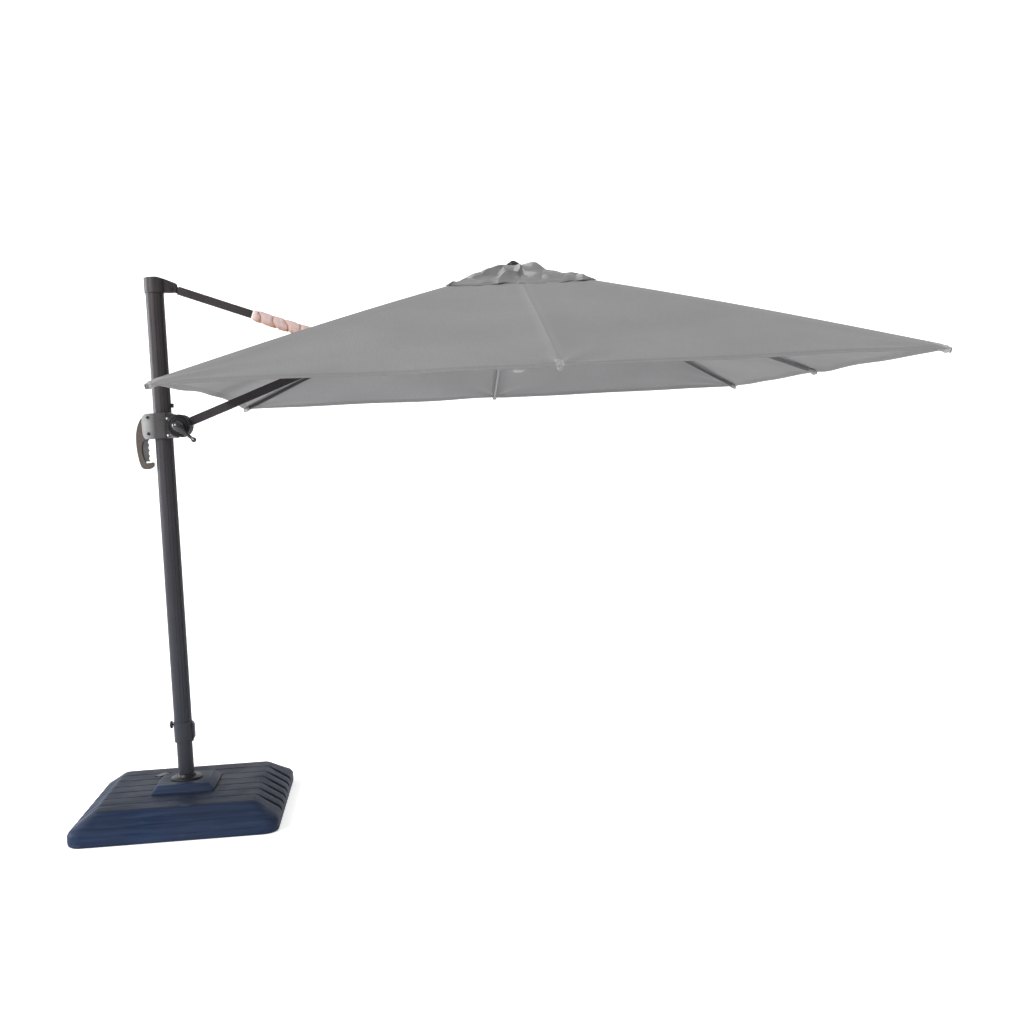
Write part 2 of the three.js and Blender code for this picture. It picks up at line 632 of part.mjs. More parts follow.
function buildStay() {
  const stay = group(parasol, PIVOT_X, 0, HEAD_PIVOT_Z);
  stay.rotation.y = ARM_ANGLE * DEGREE;
  piece(stay, "stay_top_fitting", stayTopFitting(), MATERIALS.darkPaint);
  const tubeEnd = STAY_LENGTH - FORK_LENGTH - GAP;
  const tube = boxTube(STAY_HALF_HEIGHT, STAY_HALF_WIDTH, TUBE_WALL, STAY_TUBE_START + GAP, tubeEnd);
  piece(stay, "stay_tube", tube, MATERIALS.darkPaint);
  piece(stay, "stay_fork", stayFork().translate(STAY_LENGTH, 0, 0), MATERIALS.darkPaint);
  piece(stay, "stay_wrap", stayWrap(), MATERIALS.foam);
  piece(stay, "stay_pin", headedPin(PIN_RADIUS, 22, 8).translate(STAY_LENGTH, 0, 0), MATERIALS.steel);
}

// ---------------------------------------------------------------- boom, along +X from the slider pivot

const KNUCKLE_RADIUS = 22;
const BOOM_TUBE_START = 34;
const BOOM_TUBE_SHORT = 46; // the tube ends this far before the end pivot

function boomKnuckle() {
  const tongue = plate(eye(KNUCKLE_RADIUS, BOOM_TUBE_START), -BOOM_HALF_WIDTH, BOOM_HALF_WIDTH);
  const shaved = common(tongue, block(-50, 50, -20, 20, -BOOM_HALF_HEIGHT, BOOM_HALF_HEIGHT));
  const plug = tubePlug(BOOM_HALF_HEIGHT, BOOM_HALF_WIDTH, BOOM_TUBE_START - 1, BOOM_TUBE_START + 50);
  return cut(join(shaved, plug), rod("y", 9, -20, 20));
}

function boomTube() {
  const end = BOOM_LENGTH - BOOM_TUBE_SHORT;
  const tube = boxTube(BOOM_HALF_HEIGHT, BOOM_HALF_WIDTH, TUBE_WALL, BOOM_TUBE_START + GAP, end);
  return cut(tube, rod("y", PIN_RADIUS + RUN, -20, 20, 16).translate(STAY_LENGTH, 0, 0));
}

function boomSaddle() {
  const wall = 4;
  const tube = boxTube(BOOM_HALF_HEIGHT + wall, BOOM_HALF_WIDTH + wall, wall - GAP, -45, 45, 4);
  return cut(tube, rod("y", PIN_RADIUS + RUN, -20, 20, 16));
}

function boomHeadFork() {
  const cheek = eye(16, BOOM_TUBE_SHORT - GAP).getPoints(5).map(({ x, y }) => [-x, y]);
  const cheeks = [[-12.8, -8], [8, 12.8]].map(([y0, y1]) => plate(outline(cheek), y0, y1));
  const bridge = block(GAP - BOOM_TUBE_SHORT, -34, -12.8, 12.8, -16, 16);
  const plug = tubePlug(BOOM_HALF_HEIGHT, BOOM_HALF_WIDTH, -BOOM_TUBE_SHORT - 40, 1 - BOOM_TUBE_SHORT);
  return cut(join(bridge, plug, ...cheeks), rod("y", PIN_RADIUS + GAP, -20, 20));
}

function buildBoom() {
  const boom = group(parasol, PIVOT_X, 0, SLIDER_PIVOT_Z);
  boom.rotation.y = -ARM_ANGLE * DEGREE;
  piece(boom, "boom_knuckle", boomKnuckle(), MATERIALS.darkPaint);
  piece(boom, "boom_tube", boomTube(), MATERIALS.darkPaint);
  piece(boom, "boom_saddle", boomSaddle().translate(STAY_LENGTH, 0, 0), MATERIALS.darkPaint);
  piece(boom, "boom_head_fork", boomHeadFork().translate(BOOM_LENGTH, 0, 0), MATERIALS.darkPaint);
  piece(boom, "hub_pin", headedPin(PIN_RADIUS, 13.2, 8).translate(BOOM_LENGTH, 0, 0), MATERIALS.steel);
}

// ---------------------------------------------------------------- canopy hub, about the canopy's axis

const POST_RADIUS = 19;
const CROWN_RADIUS = 76;
const CROWN_BOTTOM = CROWN_PIVOT_Z - 20;
const CROWN_TOP = CROWN_PIVOT_Z + 20;
const RUNNER_PIVOT_Z = CROWN_PIVOT_Z - RUNNER_DROP;
const POST_BOTTOM = RUNNER_PIVOT_Z - 39;
const EYE_HALF_WIDTH = 4;
const SLOT_HALF_WIDTH = 5;
const EYE_PIN_RADIUS = 2;
const VENT_HALF = 350;
const VENT_HOLE_HALF = 250;
const VENT_APEX_Z = 2558;
const VENT_SLOPE = 0.22;
const STAY_SLOT = { from: -1010, to: -720, halfWidth: 34 }; // in the canopy's left panel
const FINIAL_TOP = 2584;
const ALL_AZIMUTHS = [...Object.values(MID_RIBS), ...Object.values(CORNER_RIBS)];

function crownHub() {
  const disc = turned([
    [0, CROWN_BOTTOM], [CROWN_RADIUS - 4, CROWN_BOTTOM], [CROWN_RADIUS, CROWN_BOTTOM + 5],
    [CROWN_RADIUS, CROWN_TOP - 8], [CROWN_RADIUS - 14, CROWN_TOP], [0, CROWN_TOP],
  ]);
  const slots = ALL_AZIMUTHS.map((azimuth) => {
    const slot = block(48, 90, -SLOT_HALF_WIDTH, SLOT_HALF_WIDTH, CROWN_BOTTOM - 5, CROWN_PIVOT_Z + 12);
    return slot.rotateZ(azimuth * DEGREE);
  });
  const pins = ALL_AZIMUTHS.map((azimuth) => {
    const pin = rod("y", EYE_PIN_RADIUS, -SLOT_HALF_WIDTH - 1, SLOT_HALF_WIDTH + 1, 8);
    return pin.translate(CROWN_PIVOT_RADIUS, 0, CROWN_PIVOT_Z).rotateZ(azimuth * DEGREE);
  });
  const drop = BOOM_END_Z;
  const lug = new THREE.Shape();
  lug.moveTo(-30, CROWN_BOTTOM + 2);
  lug.lineTo(-74, CROWN_BOTTOM + 2);
  lug.lineTo(-HUB_OFFSET - 16, drop + 8);
  lug.absarc(-HUB_OFFSET, drop, 17, 155 * DEGREE, 320 * DEGREE);
  lug.lineTo(-30, CROWN_BOTTOM - 12);
  const pinHole = rod("y", PIN_RADIUS + RUN, -20, 20, 16).translate(-HUB_OFFSET, 0, drop);
  const stemBore = rod("z", 6 + GAP, CROWN_TOP - 15, CROWN_TOP + 5, 16);
  const plateLug = cut(plate(lug, -7.5, 7.5, 6), pinHole);
  return cut(join(cut(disc, ...slots), ...pins, plateLug), stemBore);
}

function finial() {
  const stem = CROWN_TOP - 14;
  const lip = VENT_APEX_Z + 1;
  return turned([
    [0, stem], [6, stem], [6, lip], [30, lip - 3], [34, lip + 3], [33, lip + 9], [26, lip + 14],
    [14, FINIAL_TOP - 4], [12, FINIAL_TOP - 1], [0, FINIAL_TOP],
  ], 24);
}

/** A square pyramid of cloth with the given outer slope, its underside a cloth thickness lower. */
function pyramidCloth(half, apexZ, slope) {
  const corners = [[1, 1], [-1, 1], [-1, -1], [1, -1]];
  const vertices = [];
  for (const lift of [0, -CLOTH]) {
    for (const [x, y] of corners) vertices.push(x * half, y * half, apexZ - slope * half + lift);
    vertices.push(0, 0, apexZ + lift);
  }
  const faces = [];
  for (let i = 0; i < 4; i += 1) {
    const next = (i + 1) % 4;
    faces.push(i, next, 4, next + 5, i + 5, 9);
    faces.push(i, i + 5, next + 5, i, next + 5, next);
  }
  const geometry = new THREE.BufferGeometry();
  geometry.setAttribute("position", new THREE.Float32BufferAttribute(vertices, 3));
  geometry.setIndex(faces);
  return geometry;
}

function canopy() {
  const cloth = pyramidCloth(CANOPY_HALF, CANOPY_APEX_Z, CANOPY_SLOPE);
  const ventHole = block(-VENT_HOLE_HALF, VENT_HOLE_HALF, -VENT_HOLE_HALF, VENT_HOLE_HALF, 2000, 2700);
  const { from, to, halfWidth } = STAY_SLOT;
  const staySlot = block(from, to, -halfWidth, halfWidth, 1900, 2600);
  return cut(cloth, ventHole, staySlot);
}

function ventCover() {
  const stemHole = rod("z", 8, 2500, 2600, 16);
  return cut(pyramidCloth(VENT_HALF, VENT_APEX_Z, VENT_SLOPE), stemHole);
}

function runner() {
  const z = RUNNER_PIVOT_Z;
  const body = turned([
    [0, z - 52], [20, z - 51], [30, z - 44], [34, z - 20], [70, z - 18], [74, z - 14],
    [74, z + 14], [70, z + 18], [0, z + 18],
  ]);
  const slots = ALL_AZIMUTHS.map((azimuth) => {
    const slot = block(48, 90, -SLOT_HALF_WIDTH, SLOT_HALF_WIDTH, z - 60, z + 60);
    return slot.rotateZ(azimuth * DEGREE);
  });
  const bore = rod("z", POST_RADIUS + 0.5, POST_BOTTOM - 5, z + 60, 24);
  return cut(body, bore, ...slots);
}

function buildHub() {
  const hub = group(parasol, CANOPY_X, 0, 0);
  piece(hub, "crown_hub", crownHub(), MATERIALS.blackPlastic);
  const post = ring(POST_RADIUS - 2, POST_RADIUS, POST_BOTTOM, CROWN_BOTTOM - GAP, 24);
  piece(hub, "canopy_post", post, MATERIALS.darkPaint);
  piece(hub, "finial", finial(), MATERIALS.blackPlastic);
  piece(hub, "canopy", canopy(), MATERIALS.fabric);
  piece(hub, "vent_cover", ventCover(), MATERIALS.fabric);
  piece(hub, "runner", runner(), MATERIALS.blackPlastic);
}

// ---------------------------------------------------------------- ribs and struts

/** Where a strut meets its rib and how long it is, so that it fits the runner open and folded. */
function strutFit(openAngle) {
  const open = openAngle * DEGREE;
  const folded = RIB_FOLDED_ANGLE * DEGREE;
  const h0 = RUNNER_DROP;
  const h1 = RUNNER_DROP_FOLDED;
  const e = BRACKET_DEPTH;
  const above = (h1 * h1 - h0 * h0) / 2 - e * (h1 * Math.cos(folded) - h0 * Math.cos(open));
  const along = above / (h1 * Math.sin(folded) - h0 * Math.sin(open));
  const drop = along * Math.sin(open) + e * Math.cos(open);
  const length = Math.sqrt(along * along + e * e + h0 * h0 - 2 * h0 * drop);
  return { along, length, drop };
}

/** A rib along +X from its crown pivot, with the strut's bracket under it. */
function rib(length, bracketAt) {
  const start = 28;
  const tube = boxTube(RIB_HALF_HEIGHT, RIB_HALF_WIDTH, 1.5, start, length, 2);
  const end = plate(eye(9, start + 30), -EYE_HALF_WIDTH, EYE_HALF_WIDTH, 3);
  const down = -BRACKET_DEPTH;
  const cheek = outline([
    [-26, -RIB_HALF_HEIGHT], [-8, down - 5], [0, down - 8], [8, down - 5], [26, -RIB_HALF_HEIGHT],
    [26, RIB_HALF_HEIGHT - 3], [-26, RIB_HALF_HEIGHT - 3],
  ]);
  const inner = EYE_HALF_WIDTH + 0.8;
  const outer = RIB_HALF_WIDTH + 2;
  const rivet = rod("y", EYE_PIN_RADIUS, -outer, outer, 8).translate(0, 0, down);
  const bracket = [plate(cheek, -outer, -inner), plate(cheek, inner, outer), rivet];
  for (const part of bracket) part.translate(bracketAt, 0, 0);
  return cut(join(tube, end, ...bracket), rod("y", EYE_PIN_RADIUS + RUN, -10, 10, 8));
}

/** A strut along +X from its rib bracket, with a flat eye at both ends. */
function strut(length) {
  const inset = 26;
  const tube = boxTube(6.5, 5, 1.2, inset, length - inset, 1.5);
  const near = plate(eye(6, inset + 12), -3.5, 3.5, 3);
  const far = plate(eye(6, inset + 12), -3.5, 3.5, 3).rotateZ(Math.PI).translate(length, 0, 0);
  const holes = [0, length].map((x) => rod("y", EYE_PIN_RADIUS + RUN, -10, 10, 8).translate(x, 0, 0));
  return cut(join(tube, near, far), ...holes);
}

function buildRib(name, azimuth, reach, clearance) {
  const tipZ = CANOPY_APEX_Z - CANOPY_SLOPE * CANOPY_HALF - CLOTH - clearance;
  const fall = CROWN_PIVOT_Z - tipZ;
  const openAngle = Math.atan2(fall, reach - CROWN_PIVOT_RADIUS) / DEGREE;
  const length = Math.hypot(fall, reach - CROWN_PIVOT_RADIUS) - 4;
  const { along, length: strutLength, drop } = strutFit(openAngle);

  const direction = group(parasol, CANOPY_X, 0, CROWN_PIVOT_Z);
  direction.rotation.z = azimuth * DEGREE;
  const ribGroup = group(direction, CROWN_PIVOT_RADIUS, 0, 0);
  ribGroup.rotation.y = openAngle * DEGREE;
  piece(ribGroup, `rib_${name}`, rib(length, along), MATERIALS.ribPaint);

  const out = along * Math.cos(openAngle * DEGREE) - BRACKET_DEPTH * Math.sin(openAngle * DEGREE);
  const strutGroup = group(direction, CROWN_PIVOT_RADIUS + out, 0, -drop);
  strutGroup.rotation.y = Math.PI - Math.atan2(RUNNER_DROP - drop, out);
  piece(strutGroup, `strut_${name}`, strut(strutLength), MATERIALS.ribPaint);
}

function buildRibs() {
  for (const [name, azimuth] of Object.entries(MID_RIBS)) {
    buildRib(name, azimuth, CANOPY_HALF, 12.5);
  }
  for (const [name, azimuth] of Object.entries(CORNER_RIBS)) {
    buildRib(name, azimuth, CANOPY_HALF * Math.SQRT2, 16);
  }
}

buildBase();
buildMast();
buildSlider();
buildStay();
buildBoom();
buildHub();
buildRibs();

export default parasol;
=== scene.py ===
"""Looks of the cantilever parasol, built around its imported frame.

The canopy's cloth, the vent flap, the foam wrap, the moulded base and the ribs' end caps are modelled
here. The frame's own nodes are carried over and given finishes. Everything is in metres in the frame's
axes: +Z up, and +X from the mast towards the canopy's centre.
"""
import json
import math

import bmesh
import bpy
import numpy as np
from mathutils import Matrix, Vector


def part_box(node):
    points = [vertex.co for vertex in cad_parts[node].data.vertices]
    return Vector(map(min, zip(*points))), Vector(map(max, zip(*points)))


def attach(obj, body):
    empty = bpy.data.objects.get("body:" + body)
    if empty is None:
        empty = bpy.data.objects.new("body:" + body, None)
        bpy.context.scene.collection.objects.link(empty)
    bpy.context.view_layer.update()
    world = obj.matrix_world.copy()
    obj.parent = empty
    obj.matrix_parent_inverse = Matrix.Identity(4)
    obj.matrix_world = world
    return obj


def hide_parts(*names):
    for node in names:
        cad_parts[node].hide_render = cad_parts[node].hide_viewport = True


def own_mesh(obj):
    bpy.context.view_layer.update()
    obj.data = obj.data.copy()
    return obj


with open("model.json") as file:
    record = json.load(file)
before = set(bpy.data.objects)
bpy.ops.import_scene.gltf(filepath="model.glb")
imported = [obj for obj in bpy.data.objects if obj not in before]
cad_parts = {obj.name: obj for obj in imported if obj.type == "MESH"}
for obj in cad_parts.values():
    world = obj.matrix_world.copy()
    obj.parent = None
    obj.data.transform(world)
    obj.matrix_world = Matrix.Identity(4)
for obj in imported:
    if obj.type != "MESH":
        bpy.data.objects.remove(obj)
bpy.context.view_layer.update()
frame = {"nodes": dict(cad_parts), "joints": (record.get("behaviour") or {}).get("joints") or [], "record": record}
joints = {joint["name"]: joint for joint in frame["joints"]}

# ------------------------------------------------------------------ driving dimensions

MM = 0.001

# Canopy: a four-sided sheet over seven ribs, with a loose vent flap on top
canopy_low, canopy_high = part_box("canopy")
CENTRE = np.array([(canopy_low.x + canopy_high.x) / 2, 0.0])
HALF = (canopy_high.x - canopy_low.x) / 2
SLOPE = 0.375
APEX = canopy_low.z + 2 * MM + SLOPE * HALF
VENT_HOLE = 250 * MM
SPLIT = 0.422  # share of a panel's half width that its middle rib carries
CLOTH = 1.2 * MM
SEAM_HALF = 9 * MM
HEM_WIDTH = 28 * MM
HEM_THICKER = 1.2 * MM
HEM_DROOP = 7 * MM  # the stitched hem hangs a little from the edge
POCKET_HALF = 17 * MM  # of the doubled patch that holds a rib's end
POCKET_LENGTH = 46 * MM
EDGE_SAG = 2 * MM
CROWN = 14 * MM  # the loaded ribs lift the cloth a little between the centre and the edge
RIDGE_DROP = 15 * MM  # how far the cloth falls away beside a rib, and over which width
RIDGE_WIDTH = 70 * MM
FREE_EDGE_BOW = 48 * MM  # of the edge over the mast, which has no middle rib
EDGE_BOW = 7 * MM
STAY_SLOT = {"from": 720 * MM, "to": 1010 * MM, "half": 31 * MM, "taper": 60 * MM}

# Vent flap: four-sided too, held under the finial by a round cap
FLAP_HALF = 350 * MM
FLAP_APEX = 2558 * MM
FLAP_SLOPE = 0.22
FLAP_START = 60 * MM
FLAP_HEM = 16 * MM
CAP_RADIUS = 88 * MM

RUNNER_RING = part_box("runner")[0].z + 14 * MM  # top of the runner's pale lower ring

# Foam wrap on the stay
WRAP_START = 401 * MM
WRAP_END = 740 * MM
WRAP_PITCH = 66 * MM
WRAP_THICKNESS = 2.2 * MM
WRAP_BULGE = 9.6 * MM
STAY_HALF_HEIGHT = 19 * MM
STAY_HALF_WIDTH = 12.5 * MM

# Base
base_low, base_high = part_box("base_shell")
BASE_HALF = base_high.x
BASE_HEIGHT = base_high.z
BASE_TOP_HALF = 360 * MM
BASE_SIDE = 67 * MM
BASE_CORNER = 65 * MM
BASE_CEILING = 117 * MM  # height of the hollow under the moulding
PLANKS = 7
GROOVE_DEPTH = 4 * MM

PANELS = {"near": 270, "right": 0, "far": 90, "left": 180}  # azimuths of the panels' middles
RIBS = {
    "near": 270, "right": 0, "far": 90,
    "near_left": 225, "near_right": 315, "far_right": 45, "far_left": 135,
}


def smoothstep(low, high, value):
    """0 at low and 1 at high, with soft ends."""
    share = np.clip((value - low) / (high - low), 0, 1)
    return share * share * (3 - 2 * share)


def direction(azimuth):
    """Level unit vector at an azimuth in degrees from +X."""
    angle = math.radians(azimuth)
    return np.array([math.cos(angle), math.sin(angle)])


# ------------------------------------------------------------------ materials


class Finish:
    """A material being made: short calls that add nodes and join them."""

    def __init__(self, name, roughness=0.5, metallic=0.0, **inputs):
        self.material = bpy.data.materials.new(name)
        self.material.use_nodes = True
        self.tree = self.material.node_tree
        self.shader = self.tree.nodes["Principled BSDF"]
        self.feed(self.shader.inputs["Roughness"], roughness)
        self.feed(self.shader.inputs["Metallic"], metallic)
        for key, value in inputs.items():
            self.feed(self.shader.inputs[key.replace("_", " ")], value)
        self.place = self.node("ShaderNodeTexCoord").outputs["Object"]

    def feed(self, socket, value):
        if isinstance(value, bpy.types.NodeSocket):
            self.tree.links.new(value, socket)
        else:
            socket.default_value = value

    def node(self, kind, inputs=None, **settings):
        made = self.tree.nodes.new(kind)
        for key, value in settings.items():
            setattr(made, key, value)
        for key, value in (inputs or {}).items():
            self.feed(made.inputs[key], value)
        return made

    def stretched(self, scale, source=None):
        source = source or self.place
        return self.node("ShaderNodeMapping", {"Vector": source, "Scale": scale}).outputs[0]

    def noise(self, scale, detail=3.0, source=None):
        inputs = {"Vector": source or self.place, "Scale": scale, "Detail": detail}
        return self.node("ShaderNodeTexNoise", inputs).outputs["Fac"]

    def math(self, operation, first, second=0.0, third=0.0):
        inputs = {0: first, 1: second, 2: third}
        return self.node("ShaderNodeMath", inputs, operation=operation).outputs[0]

    def range(self, value, low, high, to_low=0.0, to_high=1.0):
        inputs = {"Value": value, "From Min": low, "From Max": high, "To Min": to_low, "To Max": to_high}
        return self.node("ShaderNodeMapRange", inputs).outputs[0]

    def mix(self, factor, first, second):
        made = self.node("ShaderNodeMix", data_type="RGBA")
        self.feed(made.inputs[0], factor)
        self.feed(made.inputs[6], (*first, 1) if isinstance(first, tuple) else first)
        self.feed(made.inputs[7], (*second, 1) if isinstance(second, tuple) else second)
        return made.outputs[2]

    def axis(self, name, source=None):
        return self.node("ShaderNodeSeparateXYZ", {0: source or self.place}).outputs[name]

    def worn_edges(self, start=0.52, end=0.62):
        pointiness = self.node("ShaderNodeNewGeometry").outputs["Pointiness"]
        return self.range(pointiness, start, end)

    def bump(self, height, distance, strength=1.0, under=None):
        inputs = {"Height": height, "Distance": distance, "Strength": strength}
        if under is not None:
            inputs["Normal"] = under
        return self.node("ShaderNodeBump", inputs).outputs[0]

    def done(self, color, normal=None, roughness=None):
        self.feed(self.shader.inputs["Base Color"], color)
        if normal is not None:
            self.feed(self.shader.inputs["Normal"], normal)
        if roughness is not None:
            self.feed(self.shader.inputs["Roughness"], roughness)
        return self.material


def stitch_line(made, across, along, middle, width=0.9 * MM):
    """1 on the threads of a row of stitches that runs at a given distance across, 0 elsewhere."""
    off = made.math("ABSOLUTE", made.math("SUBTRACT", across, middle))
    row = made.range(off, width, width * 0.4)
    dash = made.math("SINE", made.math("MULTIPLY", along, 2 * math.pi / (5 * MM)))
    return made.math("MULTIPLY", row, made.range(dash, -0.2, 0.1))


def paint_fold_light(made, base, amount):
    """Darkens the cloth's own colour, then paints a highlight on the folds that face the key light and paints
    shade on those that turn away from it.
    """
    base = made.mix(0.4, base, (0.10, 0.104, 0.11))
    normal = made.node("ShaderNodeNewGeometry").outputs["Normal"]
    # painted highlight and painted shade: the colour follows how squarely each fold faces the key light
    faces_key_light = made.node("ShaderNodeVectorMath", {0: normal, 1: (-0.55, -0.45, 0.70)}, operation="DOT_PRODUCT")
    base = made.mix(made.range(faces_key_light.outputs["Value"], 0.90, 1.0, 0, amount), base, (0.62, 0.62, 0.64))
    return made.mix(made.range(faces_key_light.outputs["Value"], 0.76, 0.35, 0, amount), base, (0.05, 0.052, 0.06))


def canopy_cloth(name="canopy_fabric", roughness=0.85, shine=0.25, painted_fold_light=0.0):
    """Woven grey polyester with felled seams on the ribs, a stitched hem, patches over the ribs' ends and a
    painted highlight in a band along each rib.

    A cloth given painted fold light has a painted highlight and painted shade on its folds, and has no patches.
    """
    made = Finish(name, roughness, Sheen_Weight=0.15, Sheen_Roughness=0.5, Specular_IOR_Level=shine)
    cloth = made.node("ShaderNodeAttribute", attribute_name="cloth").outputs["Vector"]
    across, outward, rib = (made.axis(name, cloth) for name in "XYZ")
    thread = 2 * math.pi / (2.2 * MM)
    warp = made.math("SINE", made.math("MULTIPLY", across, thread))
    weft = made.math("SINE", made.math("MULTIPLY", outward, thread))
    weave = made.math("MULTIPLY", warp, weft)
    slub = made.noise(1.0, 3, made.stretched((260, 22, 1), cloth))
    dust = made.noise(2.3, 4)
    from_rib = made.math("ABSOLUTE", rib)
    edge = made.math("SUBTRACT", HALF, outward)
    seam = made.range(from_rib, SEAM_HALF, SEAM_HALF - 1.5 * MM)
    hem = made.range(edge, HEM_WIDTH, HEM_WIDTH - 1.5 * MM)
    pocket_width = made.range(from_rib, POCKET_HALF, POCKET_HALF - 3 * MM)
    pocket = made.math("MULTIPLY", pocket_width, made.range(edge, POCKET_LENGTH, POCKET_LENGTH - 4 * MM))
    # painted highlight: a lighter band along each rib's ridge
    ridge_highlight = made.range(from_rib, 42 * MM, 8 * MM, 0, 0.22)
    stitches = stitch_line(made, edge, across, HEM_WIDTH - 4 * MM)
    for row in (SEAM_HALF - 3 * MM, 3 * MM - SEAM_HALF):
        stitches = made.math("MAXIMUM", stitches, stitch_line(made, rib, outward, row))
    base = made.mix(made.range(dust, 0.3, 0.7), (0.224, 0.222, 0.228), (0.262, 0.259, 0.266))
    base = made.mix(made.range(slub, 0.35, 0.65, 0, 0.25), base, (0.176, 0.177, 0.183))
    base = made.mix(made.range(weave, -1, 1, 0, 0.14), base, (0.15, 0.15, 0.156))
    base = made.mix(ridge_highlight, base, (0.34, 0.34, 0.345))
    base = made.mix(made.math("MULTIPLY", seam, 0.12), base, (0.165, 0.165, 0.172))
    base = made.mix(made.math("MULTIPLY", hem, 0.28), base, (0.165, 0.165, 0.172))
    if not painted_fold_light:
        base = made.mix(made.math("MULTIPLY", pocket, 0.45), base, (0.46, 0.45, 0.45))
    base = made.mix(made.math("MULTIPLY", stitches, 0.55), base, (0.34, 0.34, 0.35))
    if painted_fold_light:
        base = paint_fold_light(made, base, painted_fold_light)
    normal = made.bump(weave, 0.12 * MM, 0.6)
    normal = made.bump(slub, 0.25 * MM, 0.5, normal)
    doubled = made.math("MAXIMUM", made.math("MAXIMUM", seam, hem), pocket)
    raised = made.math("ADD", doubled, made.math("MULTIPLY", stitches, -0.6))
    return made.done(base, made.bump(raised, 0.9 * MM, 0.8, normal))


def wrap_foam():
    """Pinkish packing foam with tiny cells, with painted shade, darker and warmer, down in its creases and on its
    underside.
    """
    made = Finish("foam", 0.7, Subsurface_Weight=0.25, Subsurface_Scale=0.012)
    made.feed(made.shader.inputs["Subsurface Radius"], (1.0, 0.55, 0.4))
    bulge = made.node("ShaderNodeAttribute", attribute_name="bulge").outputs["Fac"]
    cells = made.node("ShaderNodeTexVoronoi", {"Vector": made.place, "Scale": 520.0}).outputs["Distance"]
    blotch = made.noise(60.0, 4)
    # painted shade: darker and warmer down in the creases, where the bulge is 0
    color = made.mix(made.range(bulge, 0.0, 0.6), (0.36, 0.15, 0.09), (0.60, 0.47, 0.46))
    color = made.mix(made.range(blotch, 0.42, 0.72, 0, 0.5), color, (0.58, 0.37, 0.31))
    # painted shade, warm and darker, on the downward-facing side
    facing = made.node("ShaderNodeNewGeometry").outputs["Normal"]
    painted_underside_shade = made.range(made.axis("Z", facing), 0.1, -0.8, 0, 0.55)
    color = made.mix(painted_underside_shade, color, (0.60, 0.27, 0.13))
    normal = made.bump(cells, 0.5 * MM, 0.5)
    return made.done(color, made.bump(blotch, 1.6 * MM, 0.7, normal))


def adhesive_tape():
    """White tape, a little wrinkled."""
    made = Finish("white_tape", 0.35)
    wrinkle = made.noise(140.0, 3)
    color = made.mix(wrinkle, (0.80, 0.77, 0.71), (0.88, 0.86, 0.81))
    return made.done(color, made.bump(wrinkle, 0.5 * MM, 0.6))


def base_plastic():
    """Moulded dark blue-grey plastic with a wood grain along the planks and scuffs, with painted shade on its
    upward-facing tops and in the grooves between planks.
    """
    made = Finish("base_plastic", 0.5, Specular_IOR_Level=0.12, Specular_Tint=(0.55, 0.75, 1.0, 1))
    grain = made.noise(1.0, 6, made.stretched((7, 190, 190)))
    veins = made.noise(1.0, 4, made.stretched((3, 55, 55)))
    patch = made.noise(5.0, 4)
    scuff = made.range(made.noise(1.0, 7, made.stretched((9, 34, 34))), 0.64, 0.76)
    tint = made.noise(2.4, 2)
    color = made.mix(made.range(veins, 0.35, 0.65), (0.010, 0.019, 0.047), (0.024, 0.038, 0.080))
    color = made.mix(made.range(grain, 0.4, 0.7, 0, 0.5), color, (0.030, 0.045, 0.088))
    color = made.mix(made.range(tint, 0.35, 0.7, 0, 0.5), color, (0.017, 0.019, 0.029))
    # painted shade: upward-facing tops are darker
    facing = made.axis("Z", made.node("ShaderNodeNewGeometry").outputs["Normal"])
    color = made.mix(made.range(facing, 0.90, 0.99, 0, 0.7), color, (0.005, 0.008, 0.017))
    color = made.mix(made.math("MULTIPLY", scuff, 0.4), color, (0.085, 0.105, 0.15))
    color = made.mix(made.math("MULTIPLY", made.worn_edges(), 0.35), color, (0.10, 0.12, 0.155))
    # painted shade in the grooves between the planks
    groove_shade = made.node("ShaderNodeAttribute", attribute_name="groove_shade").outputs["Fac"]
    color = made.mix(made.range(groove_shade, 0.2, 0.75), color, (0.004, 0.005, 0.008))
    rough = made.range(made.math("ADD", grain, patch), 0.7, 1.3, 0.38, 0.6)
    normal = made.bump(grain, 1.1 * MM, 0.75)
    return made.done(color, made.bump(veins, 2.0 * MM, 0.4, normal), rough)


def frame_paint(name="frame_paint", warm=(0.030, 0.025, 0.028), cool=(0.019, 0.024, 0.038), fade=(0.4, 2.2)):
    """Powder-coated aluminium: a fine orange peel, warmer high up and bluer low down, worn on its edges."""
    made = Finish(name, 0.42, 0.25, Specular_IOR_Level=0.35)
    peel = made.noise(900.0, 2)
    draw = made.noise(1.0, 4, made.stretched((70, 70, 2.5)))
    dirt = made.noise(6.0, 5)
    height = made.range(made.axis("Z"), fade[0], fade[1])
    color = made.mix(height, cool, warm)
    color = made.mix(made.range(draw, 0.3, 0.7, 0, 0.35), color, tuple(1.6 * c for c in warm))
    color = made.mix(made.range(dirt, 0.5, 0.8, 0, 0.25), color, (0.05, 0.046, 0.046))
    color = made.mix(made.math("MULTIPLY", made.worn_edges(0.53, 0.66), 0.4), color, (0.16, 0.16, 0.16))
    rough = made.range(made.math("ADD", dirt, draw), 0.7, 1.3, 0.34, 0.52)
    return made.done(color, made.bump(peel, 0.12 * MM, 0.5), rough)


